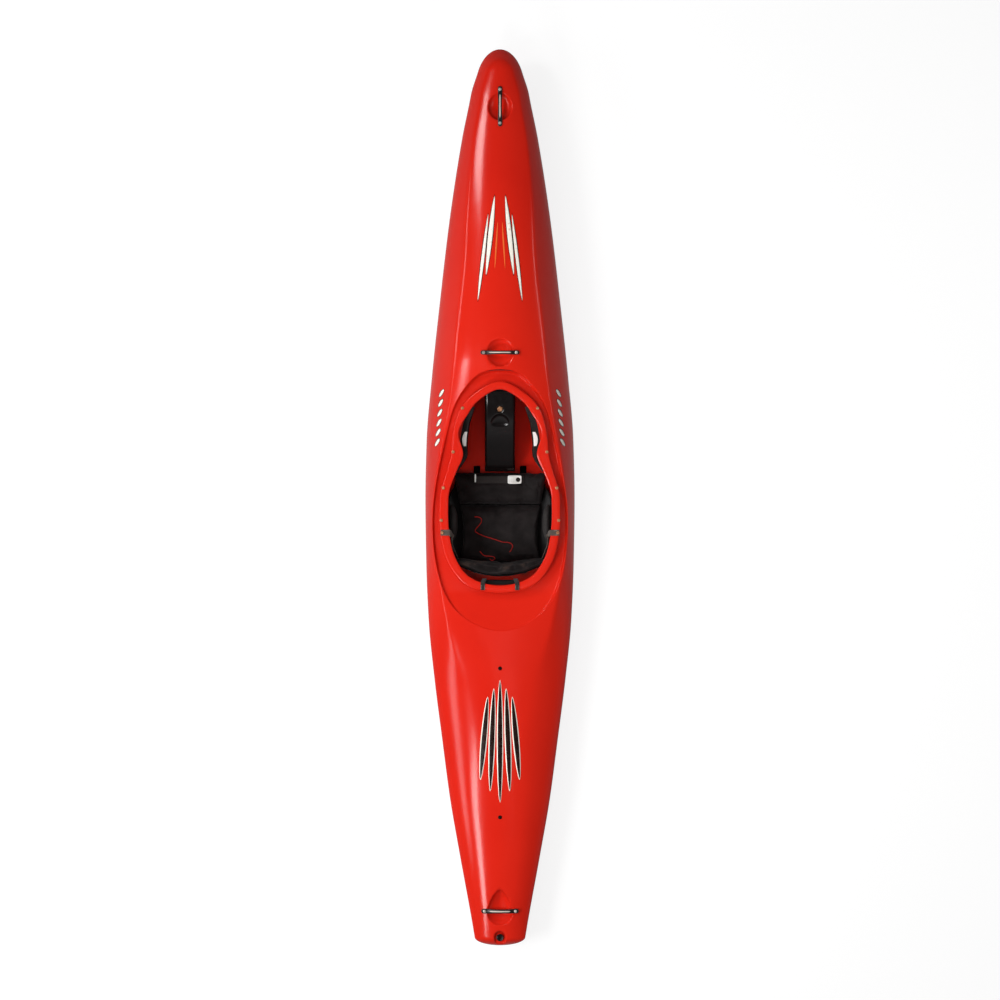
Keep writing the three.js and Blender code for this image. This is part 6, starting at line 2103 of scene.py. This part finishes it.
@dataclass
class LegLifter:
    """The hinged front of the seat with its strap, buckle and tab."""

    finishes: Finishes
    hinge: float = -26
    length: float = 128
    bottom: float = 23.9
    rear_height: float = 30
    front_height: float = 50
    rear_half: float = 168
    front_half: float = 196
    base_half: float = 134
    corner: float = 16
    edge: float = 8
    strap_place: float = 76
    strap_half: float = 98
    strap_width: float = 28

    def top(self, y: float) -> float:
        """Height of the wedge's top on its middle."""
        share = min(max((y - self.hinge) / self.length, 0), 1)
        rise = (self.front_height - self.rear_height) * math.sin(math.pi / 2 * share)
        return self.bottom + self.rear_height + rise

    def cushion(self) -> Object:
        """The padded wedge with raised front corners."""
        edge, base, rings = self.edge, self.base_half, []
        for t in np.linspace(0, 1, 33):
            y = self.hinge + 0.4 + (self.length - 0.8) * t
            nose = 1 - max(t - 0.86, 0) * 1.9
            back = 1 - max(0.06 - t, 0) * 3
            top = self.bottom + (self.top(y) - self.bottom) * nose * back
            wide = self.rear_half + (self.front_half - self.rear_half) * t - 9 * t
            rise = self.corner * t * nose
            ring = []
            for s in np.linspace(1, -1, 41):
                out = max(abs(s * wide) - (wide - edge), 0) / edge
                z = top + rise * (max(abs(s) - 0.5, 0) / 0.5) ** 2
                ring.append((s * wide, z - edge * (1 - math.sqrt(max(1 - out * out, 0)))))
            flank = self.bottom + (top - self.bottom) * 0.7
            ring += [(-wide, flank), *((base * s, self.bottom) for s in (-1, -0.5, 0, 0.5, 1)), (wide, flank)]
            rings.append([(x, y, z) for x, z in ring])
        return lofted("lifter_cushion", np.array(rings), self.finishes.cloth)

    def on_top(self) -> Matrix:
        """Matrix from flat on the origin to the top of the wedge at the strap, in millimetres."""
        half = self.strap_width / 2
        rise = self.top(self.strap_place + half) - self.top(self.strap_place - half)
        slope = Matrix.Rotation(math.atan2(rise, self.strap_width), 4, "X")
        return Matrix.Translation((0, self.strap_place, self.top(self.strap_place) + 0.3)) @ slope

    def laid(self, piece: Object) -> Object:
        """Moves a piece made flat at the origin onto the wedge."""
        return placed(piece, self.on_top())

    def near_strap(self, v: np.ndarray, along: float, across: float, above: float) -> np.ndarray:
        """Which vertices lie under the strap.

        Args:
            v: the vertices in metres.
            along: reach from the strap's middle along the boat, in millimetres.
            across: reach across it.
            above: height that they lie above.

        Returns:
            True for those that do.
        """
        x, y, z = v.T / MM
        return (np.abs(y - self.strap_place) < along) & (np.abs(x) < across) & (z > above)

    def build(self) -> None:
        """The lifter and what is on it."""
        body = self.cushion()
        floor = (self.bottom + 3) * MM

        def held(v: np.ndarray) -> np.ndarray:
            """Weights of 1 on the wedge's foot and under the strap."""
            return ((v[:, 2] < floor) | self.near_strap(v, 17, 106, 50)).astype(float)

        inflate(body, 6, held)
        points = vertices(body)
        low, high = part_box("leg_lifter")
        points[:, 1] = np.clip(points[:, 1], low.y - 0.001, high.y + 0.001)
        matrix = self.on_top()
        plane, normal = matrix.translation, matrix.to_3x3() @ Vector((0, 0, 1))
        level = (plane.z - (points[:, 1] / MM - plane.y) * normal.y / normal.z - 0.5) * MM
        under = self.near_strap(points, 22, 112, 45)
        points[:, 2] = np.where(under, np.minimum(points[:, 2], level), points[:, 2])
        reshape(body, points)
        seated(body, "leg_lifter", "black_cloth", "leg_lifter")
        places = [TapePlace((self.strap_half * s, 0, 1.0), (0, 1, 0)) for s in (-1, -0.5, 0, 0.5, 1)]
        strap = tape("lifter_tape", places, self.strap_width, 2, self.finishes.dark_webbing)
        seated(self.laid(strap), "leg_lifter", "webbing", "lifter_strap")
        self.buckle()
        self.tab()

    def buckle(self) -> None:
        """The pale ladder buckle with its round eye."""
        outer, eye = superellipse(28.5, 17.5, 7, 48), superellipse(9, 9, 2, 48)
        rings = [[(60 + x * scale, y * scale, level) for x, y in outer]
                 for scale, level in ((0.97, 2.4), (1.0, 3.2), (1.0, 7.6), (0.985, 8.8), (0.94, 9.3))]
        rings += [[(74.25 + x * scale, y * scale, level) for x, y in eye]
                  for scale, level in ((1.12, 9.3), (1.03, 9.0), (1.0, 8.2), (1.0, 3.0), (1.08, 2.4))]
        piece = lofted("buckle_plate", np.array(rings), self.finishes.pale, Cap.JOINED)
        seated(self.laid(piece), "leg_lifter", "pale_plastic", "strap_buckle")
        section = superellipse(1.6, 1.2, 2.2, 12)
        places = (-12, -11, 0, 11, 12)
        bars = [loft(np.array([[(x + a, y, 9.6 + b) for a, b in section] for y in places]) * MM)
                for x in (38, 46, 54)]
        seated(self.laid(joined("buckle_ribs", bars, self.finishes.pale)), "leg_lifter", "pale_plastic")

    def tab(self) -> None:
        """The pale pull tab at the strap's end."""
        outline = superellipse(2.9, 17, 3.4, 32)
        rings = [[(-101.2 + x * scale, 5.7 + y * scale, level) for x, y in outline]
                 for scale, level in ((0.9, 0.4), (1.0, 0.8), (1.0, 2.0), (0.9, 2.4))]
        piece = lofted("pull_tab", np.array(rings), self.finishes.pale)
        seated(self.laid(piece), "leg_lifter", "pale_plastic", "strap_pull_tab")


@dataclass
class Backband:
    """The curved back support: a padded front with two rows of quilting, and a moulded back."""

    finishes: Finishes
    width: float = 356
    front: float = -236
    bow: float = 52
    thick: float = 26
    height: float = 146
    end_height: float = 64
    top: float = 244
    end_top: float = 212
    lean: float = 30
    fold: float = 2.2
    folds: float = 5
    row: float = 0.33
    row_width: float = 0.09
    row_depth: float = 0.16

    def place(self, t: float) -> Tuple[float, float]:
        """Plan of the band's front face."""
        angle = (t - 0.5) * 2
        return angle * self.width / 2, self.front - self.bow * (1 - angle ** 2)

    def back(self, t: float) -> Tuple[float, float]:
        """Direction in plan away from the paddler."""
        (ax, ay), (bx, by) = self.place(t + 0.01), self.place(t - 0.01)
        length = math.hypot(ax - bx, ay - by)
        return (ay - by) / length, -(ax - bx) / length

    def pad(self) -> Object:
        """The padded front."""
        rings = []
        for t in np.linspace(0.004, 0.996, 49):
            x, y = self.place(t)
            bx, by = self.back(t)
            swell = math.sin(math.pi * t) ** 0.6
            high = self.end_top + (self.top - self.end_top) * swell
            tall = self.end_height + (self.height - self.end_height) * swell
            end = math.sqrt(max(1 - abs(2 * t - 1) ** 14, 0.04))
            thick = self.thick * (0.5 + 0.5 * swell) * end
            ring = []
            for a, b in superellipse(1, 1, 3.4, 40):
                rows = sum(math.exp(-((b - at) / self.row_width) ** 2) for at in (self.row, -self.row))
                quilt = 1 - self.row_depth * rows
                out = self.thick - (1 - a) / 2 * thick * (quilt if a < 0 else 1)
                out -= self.lean * swell * (1 - a) / 2 * (1 - b) / 2
                out += self.fold * swell * math.sin(self.folds * math.pi * t + 2.2 * b)
                ring.append((x + bx * out, y + by * out, high - tall / 2 + b * tall / 2))
            rings.append(ring)
        # The cover's paler patches are painted highlights.
        return lofted("backband_cushion", np.array(rings), self.finishes.worn_cloth)

    def build(self) -> None:
        """Pad and shell."""
        piece = self.pad()

        def held(v: np.ndarray) -> np.ndarray:
            """Weights of 1 on the back of the pad."""
            t = v[:, 0] / MM / self.width + 0.5
            face = self.front - self.bow * (1 - (2 * t - 1) ** 2)
            return (face - v[:, 1] / MM > self.thick * 0.72).astype(float)

        inflate(piece, 5, held)
        seated(piece, "backband", "black_cloth", "backband_pad")
        shell = dressed("backband_shell", self.finishes.satin, 1.2, 2, 25, name="backband_back")
        seated(shell, "backband", "black_moulding", "backband_shell")


@dataclass
class Straps:
    """The backband's straps, over the rim and down to the band, with box stitching."""

    finishes: Finishes
    cockpit: CockpitForm
    side_width: float = 24
    side_place: float = -141.0
    side_end: Point = (170.0, -247.5, 190.7)
    rear_width: float = 18
    rear_place: float = 70.0
    thick: float = 2.2
    stitch_step: float = 4.6

    def build(self) -> None:
        """Four straps and their stitches."""
        spots: List[Spot] = []
        for side in Side:
            self.side_strap(side, spots)
            self.rear_strap(side, spots)
        rings = [[(x, r * math.cos(turn), r * math.sin(turn) * 0.6) for turn in turns(8)]
                 for x, r in ((-1.6, 0.1), (-1.2, 0.4), (0, 0.5), (1.2, 0.4), (1.6, 0.1))]
        stitch = lofted("stitch", np.array(rings), self.finishes.inlay)
        seated(instanced("strap_stitches", spots, stitch, self.finishes.inlay), "root", "webbing")

    def side_strap(self, side: Side, spots: List[Spot]) -> None:
        """A strap from the side of the rim down to the band's end.

        Args:
            side: its side of the boat.
            spots: takes up the places of its stitches.
        """
        y, c, sign = self.side_place, self.cockpit, side.value
        _, high = (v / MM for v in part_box(f"side_strap_{side.label}"))
        level = high.z - 1.0
        outer = c.half_width(c.rim_loop, y) - 1
        inner = c.half_width(c.opening_loop, y) - 4
        end_x, end_y, end_z = self.side_end
        route = (
            ((outer, y, level), (0, 1, 0), 1.0),
            (((outer + inner) / 2, y, level + 0.3), (0, 1, 0), 1.0),
            ((inner + 2, y, level), (0, 1, 0), 1.0),
            ((inner - 3, y - 3, level - 9), (0, 1, 0.1), 1.0),
            ((inner - 5, y - 10, level - 24), (0, 1, 0.35), 1.0),
            ((inner - 10, (y + end_y) / 2, (level + end_z) / 2), (0, 0.5, 1), 1.0),
            ((end_x + 6, end_y + 12, end_z + 4), (0, 0.1, 1), 0.7),
            ((end_x, end_y + 0.5, end_z), (0, 0, 1), 0.5),
        )
        places = [TapePlace((sign * x, y, z), across, left) for (x, y, z), across, left in route]
        strap = tape(f"side_tape_{side.label}", places, self.side_width, self.thick, self.finishes.webbing)
        seated(strap, "root", "webbing", f"side_strap_{side.label}")
        for k in range(6):
            for row in (-9.5, 9.5):
                x = sign * (inner + 4 + k * self.stitch_step)
                spots.append(Spot((x, self.side_place + row, level + 1.3)))

    def rear_strap(self, side: Side, spots: List[Spot]) -> None:
        """A strap over the rear of the rim.

        Args:
            side: its side of the boat.
            spots: takes up the places of its stitches.
        """
        low, high = (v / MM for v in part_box(f"rear_strap_{side.label}"))
        x, level = side.value * self.rear_place, high.z - 1.0
        route = ((x, low.y + 0.5, level), (x, low.y + 12, level + 0.2), (x, low.y + 24, level),
                 (x, low.y + 31, level - 4), (x * 0.95, low.y + 38, level - 18),
                 (x * 0.92, high.y - 4, level - 40), (x * 0.9, high.y - 1.5, low.z + 0.5))
        places = [TapePlace(at, (1, 0, 0)) for at in route]
        finish = self.finishes.dark_webbing
        strap = tape(f"rear_tape_{side.label}", places, self.rear_width, self.thick, finish)
        seated(strap, "root", "webbing", f"rear_strap_{side.label}")
        for k in range(4):
            for row in (-6.8, 6.8):
                y = low.y + 5 + k * self.stitch_step
                spots.append(Spot((x + row, y, level + 1.4), (0, 0, 1), (0, 1, 0)))


@dataclass
class ThighBraces:
    """The braces under the rim with their pale patches."""

    finishes: Finishes

    def build(self) -> None:
        """Both braces."""
        for side in Side:
            brace = dressed(f"thigh_brace_{side.label}", self.finishes.moulding, 5, 4, 28)
            seated(brace, f"thigh_brace_{side.label}", "black_moulding", f"thigh_brace_{side.label}")
            patch = dressed(f"brace_patch_{side.label}", self.finishes.pale, 0.8, 3, 28)
            seated(patch, f"thigh_brace_{side.label}", "pale_plastic", f"brace_patch_{side.label}")


@dataclass
class Footbrace:
    """Rails, plate and foam pad ahead of the paddler's feet."""

    finishes: Finishes
    rivets: int = 9
    rivet_margin: float = 20

    def build(self) -> None:
        """The footbrace."""
        spots = []
        for side in Side:
            node = f"footbrace_rail_{side.label}"
            seated(dressed(node, self.finishes.aluminium, 2, 3), "root", "aluminium", node)
            low, high = (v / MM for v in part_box(node))
            face = low.x if side is Side.RIGHT else high.x
            for y in np.linspace(low.y + self.rivet_margin, high.y - self.rivet_margin, self.rivets):
                at = (face - side.value * 0.1, y, (low.z + high.z) / 2)
                spots.append(Spot(at, (-side.value, 0, 0), (0, 1, 0)))
        head = recess_head("rail_rivet", 4.2, 1.8, 1.6, self.finishes.steel)
        seated(instanced("rail_rivets", spots, head, self.finishes.steel), "root", "dark_steel")
        plate = dressed("footbrace_plate", self.finishes.aluminium, 2, 3)
        seated(plate, "footbrace", "aluminium", "footbrace_plate")
        pad = dressed("footbrace_pad", self.finishes.foam, 6, 4)
        seated(pad, "footbrace", "black_foam", "footbrace_pad")


@dataclass
class Pillars:
    """The foam pillars under the decks."""

    finishes: Finishes

    def build(self) -> None:
        """Front and rear pillar."""
        for node in ("front_pillar", "rear_pillar"):
            piece = dressed(node, self.finishes.foam, 3, 3, 40, name=node.replace("pillar", "foam"))
            seated(piece, "root", "black_foam", node)


@dataclass
class Cords:
    """Two thin red cords that lie loose on the seat pad."""

    finishes: Finishes
    seat: Seat
    diameter: float = 3.6
    front: Pairs = (
        (39.8, -221), (46, -213), (51.5, -200), (49, -190.5), (42, -185), (31, -181.8), (20, -181.6),
        (8, -180), (-8, -174.5), (-24, -169), (-42, -163.5), (-60, -158), (-78, -151), (-92, -144),
        (-100.5, -138), (-101, -130.5), (-94, -121), (-83.5, -109), (-76.5, -97), (-76.5, -86),
        (-84.5, -79.5), (-95, -77.6), (-104, -77.4))
    rear: Pairs = (
        (-42, -250), (-36.5, -255), (-28, -255.5), (-21.5, -251), (-22.5, -244.5), (-29.6, -240.4),
        (-41, -239), (-53, -238.4), (-64, -236.4), (-71.5, -231.5), (-77, -225.5), (-83, -219))

    def path(self, route: Pairs) -> np.ndarray:
        """A route laid on the pad, in millimetres."""
        plan = open_curve(np.array(route, float), 8)
        return np.column_stack([plan, self.seat.level(plan[:, 1]) + self.diameter / 2 + 0.3])

    def samples(self) -> np.ndarray:
        """Points along both cords."""
        return np.vstack([self.path(self.front), self.path(self.rear)])

    def build(self) -> None:
        """Both cords as curves."""
        for name, route in (("front", self.front), ("rear", self.rear)):
            path = self.path(route) * MM
            data = bpy.data.curves.new(f"cord_{name}", "CURVE")
            data.dimensions, data.use_fill_caps = "3D", True
            data.bevel_depth, data.bevel_resolution = self.diameter / 2 * MM, 4
            spline = data.splines.new("POLY")
            spline.points.add(len(path) - 1)
            for point, at in zip(spline.points, path):
                point.co = (*at, 1)
            data.materials.append(self.finishes.cord)
            made = linked(f"loose_cord_{name}", data)
            seated(made, "seat", "red_cord", f"red_cord_{name}")


@dataclass(frozen=True)
class Bar:
    """A slim tapered bar.

    It has the X of its front end, the change of X along it, its half width, its ends in Y and the power of
    its taper.
    """

    centre: float
    lean: float
    half: float
    ahead: float
    behind: float
    sharp: float

    def grown(self, out: float, on: float) -> "Bar":
        """A larger bar, wider and longer on every side."""
        return Bar(self.centre, self.lean, self.half + out, self.ahead + on, self.behind - on, self.sharp)

    def on_side(self, sign: float) -> "Bar":
        """The bar itself for a sign of 1, its mirror image for -1."""
        return Bar(sign * self.centre, sign * self.lean, self.half, self.ahead, self.behind, self.sharp)

    def edges(self, t: float) -> Tuple[float, float]:
        """X of the port and the starboard edge at a share of the length, never quite meeting."""
        middle = self.centre + self.lean * t
        swell = max(self.half * math.sin(math.pi * t) ** self.sharp, 0.15)
        return middle - swell, middle + swell


@dataclass
class Graphics:
    """Plain stripes and bars of printed film on the deck."""

    finishes: Finishes
    recesses: Recesses
    lift: float = 0.9
    edge_lift: float = 0.5
    accent_lift: float = 0.6
    row: float = 7
    bow_bars: Tuple[Bar, ...] = (Bar(22, 34, 9, 1225, 905, 0.7), Bar(48, 42, 6, 1150, 800, 0.7))
    accent: Bar = Bar(9, 12, 3.2, 1120, 930, 0.6)
    fan: Tuple[Bar, ...] = tuple(
        Bar(25 * k, 27 * 0.55 * k, 9.5, -745 - 34 * abs(k), -1235 + 46 * abs(k), 0.55) for k in range(-2, 3))
    dashes: Tuple[Bar, ...] = tuple(
        Bar(230 + 3.4 * k, 16, 5.6, 442 - 40 * k, 411 - 40 * k, 0.3) for k in range(6))

    def film(self, bar: Bar, lift: float) -> Body:
        """One closed patch of film on the deck.

        Args:
            bar: its outline in plan.
            lift: height above the deck in millimetres.

        Returns:
            Points and faces, in metres.
        """
        rows, columns = max(int((bar.ahead - bar.behind) / self.row), 6), 6
        rings = []
        for t in np.arange(rows + 1) / rows:
            y = np.full(columns, bar.ahead + (bar.behind - bar.ahead) * t)
            x = np.linspace(*bar.edges(t), columns)
            top = np.column_stack([x, y, self.recesses.height(x, y) + lift])
            rings.append(np.vstack([top, top[::-1] - (0, 0, lift + 0.6)]))
        return loft(np.array(rings) * MM)

    def build(self) -> None:
        """Bow blades, rear fan and side dashes, each with an edge of the other colour."""
        white, black, orange = [], [], []

        def lay(bar: Bar, above: List[Body], below: List[Body], out: float, on: float) -> None:
            """Adds a bar of one colour and a larger one under it."""
            above.append(self.film(bar, self.lift))
            below.append(self.film(bar.grown(out, on), self.edge_lift))

        for sign in (-1, 1):
            for bar in self.bow_bars:
                lay(bar.on_side(sign), white, black, 3, 6)
            orange.append(self.film(self.accent.on_side(sign), self.accent_lift))
        for bar in self.fan:
            lay(bar, black, white, 4, 5)
        for sign in (-1, 1):
            for bar in self.dashes:
                lay(bar.on_side(sign), white, black, 2.6, 2)
        for name, parts, finish, slot in (
                ("bow_and_edge_film", white, self.finishes.white_film, "pale_plastic"),
                ("dark_film", black, self.finishes.black_film, "black_moulding"),
                ("accent_film", orange, self.finishes.orange_film, "pale_plastic")):
            seated(joined(name, parts, finish), "root", slot)


# Studio


@dataclass(frozen=True)
class Lamp:
    """A soft rectangular lamp.

    It has a place, a size (its level side and the other side), a power in watts and a point that it faces. It
    says too whether glossy surfaces show it.
    """

    name: str
    at: Point
    size: Tuple[float, float]
    power: float
    aim: Point = (0, 0, 0.2)
    mirrored: bool = True

    def build(self) -> None:
        """Adds the lamp to the scene."""
        data = bpy.data.lights.new(self.name, "AREA")
        data.shape = "RECTANGLE"
        data.size, data.size_y = self.size
        data.energy = self.power
        made = linked(self.name, data)
        made.location = self.at
        made.visible_glossy = self.mirrored
        made.rotation_euler = (Vector(self.aim) - Vector(self.at)).to_track_quat("-Z", "Y").to_euler()


@dataclass
class Studio:
    """Floor, light and camera."""

    scale: float = 0.004079
    pixels: int = 1000
    centre: Tuple[float, float] = (0.0, -0.008)
    distance: float = 22.0
    scale_level: float = 0.2
    sensor: float = 36
    soft: float = 0.15
    ceiling: float = 0.06
    horizon: float = 0.55
    ceiling_span: Tuple[float, float] = (0.05, 0.45)
    paper: float = 0.22
    floor_half: float = 30
    floor_level: float = -0.002
    seen_floor: float = 0.83
    mirrored_floor: float = 0.34
    lamps: Tuple[Lamp, ...] = (
        Lamp("overhead", (-0.35, -0.4, 3.9), (3.9, 0.7), 54, mirrored=False),
        Lamp("bow_box", (-1.85, 2.22, 3.1), (0.65, 0.6), 36, (0, 1.45, 0.25)),
        Lamp("middle_box", (-2.2, 0.52, 3.1), (0.35, 0.3), 10, (0, 0.5, 0.3)),
        Lamp("stern_box", (-1.85, -2.05, 3.2), (1.1, 0.8), 66, (0, -1.45, 0.2)),
        Lamp("side_box", (-3.0, -0.1, 2.2), (4.2, 0.4), 46),
        Lamp("glint", (2.9, 0.75, 2.3), (1.9, 0.25), 11),
    )

    def floor(self) -> None:
        """A wide pale floor, white to the camera and dimmer in what mirrors it."""
        half, mesh = self.floor_half, bpy.data.meshes.new("floor")
        corners = ((-half, -half), (half, -half), (half, half), (-half, half))
        mesh.from_pydata([(x, y, self.floor_level) for x, y in corners], [], [(0, 1, 2, 3)])
        made = linked("floor", mesh)
        s = Shader("floor_paper")
        s.set(Base_Color=(self.paper, self.paper, self.paper, 1), Roughness=0.9)
        path = s.add("ShaderNodeLightPath")
        dimmed = s.math("MULTIPLY", s.mirrored_ray(path), self.mirrored_floor)
        glow = s.node("ShaderNodeEmission", Color=(1, 1, 1, 1))
        seen = s.math("MULTIPLY_ADD", path.outputs["Is Camera Ray"], self.seen_floor, dimmed)
        s.link(seen, glow.inputs["Strength"])
        both = s.add("ShaderNodeAddShader")
        s.link(s.main.outputs["BSDF"], both.inputs[0])
        s.link(glow.outputs["Emission"], both.inputs[1])
        s.link(both.outputs[0], s.tree.nodes["Material Output"].inputs["Surface"])
        mesh.materials.append(s.material)

    def world(self) -> None:
        """A white backdrop all round under a darker ceiling, with plain soft light on the boat."""
        world = bpy.data.worlds.new("studio")
        bpy.context.scene.world = world
        world.use_nodes = True
        s = Nodes(world.node_tree)
        path, axes = s.add("ShaderNodeLightPath"), s.add("ShaderNodeSeparateXYZ")
        s.link(s.add("ShaderNodeTexCoord").outputs["Generated"], axes.inputs["Vector"])
        ceiling = s.spread(axes.outputs["Z"], self.horizon, self.ceiling, *self.ceiling_span)
        soft = s.spread(s.mirrored_ray(path), self.soft, ceiling)
        back = world.node_tree.nodes["Background"]
        back.inputs["Color"].default_value = (1, 1, 1, 1)
        s.link(s.spread(path.outputs["Is Camera Ray"], soft, 1.0), back.inputs["Strength"])

    def camera(self) -> None:
        """A long lens straight above the boat, bow at the top."""
        data = bpy.data.cameras.new("camera")
        data.sensor_width = self.sensor
        data.lens = self.sensor * (self.distance - self.scale_level) / (self.pixels * self.scale)
        data.clip_end = 100
        made = linked("camera", data)
        made.location = (*self.centre, self.distance)
        bpy.context.scene.camera = made

    def build(self) -> None:
        """Everything that isn't the boat."""
        self.camera()
        self.floor()
        self.world()
        for lamp in self.lamps:
            lamp.build()
        bpy.context.scene.view_settings.view_transform = "Standard"


def main() -> None:
    """Builds the kayak piece by piece."""
    logging.basicConfig(level=logging.INFO, format="%(name)s: %(message)s")
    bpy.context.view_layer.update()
    finishes = Finishes()
    Studio().build()
    hull = HullForm()
    cockpit = CockpitForm(hull)
    recesses = Recesses(hull)
    seat = Seat(finishes)
    cords = Cords(finishes, seat)
    cords.build()
    shell = Shell(hull, cockpit, recesses)
    lengths = [f"{half}_{length}" for half in ("hull", "deck") for length in ("fore", "middle", "rear")]
    seated(shell.build(finishes.shell), "root", "red_shell", *lengths, "cockpit_rim")
    Handles(finishes, hull, recesses).build()
    DrainPlug(finishes).build()
    RimBolts(finishes, cockpit).build()
    PillarStep(finishes).build()
    seat.build(cords)
    LegLifter(finishes).build()
    Backband(finishes).build()
    Straps(finishes, cockpit).build()
    ThighBraces(finishes).build()
    Footbrace(finishes).build()
    Pillars(finishes).build()
    Graphics(finishes, recesses).build()


if __name__ == "__main__":
    main()
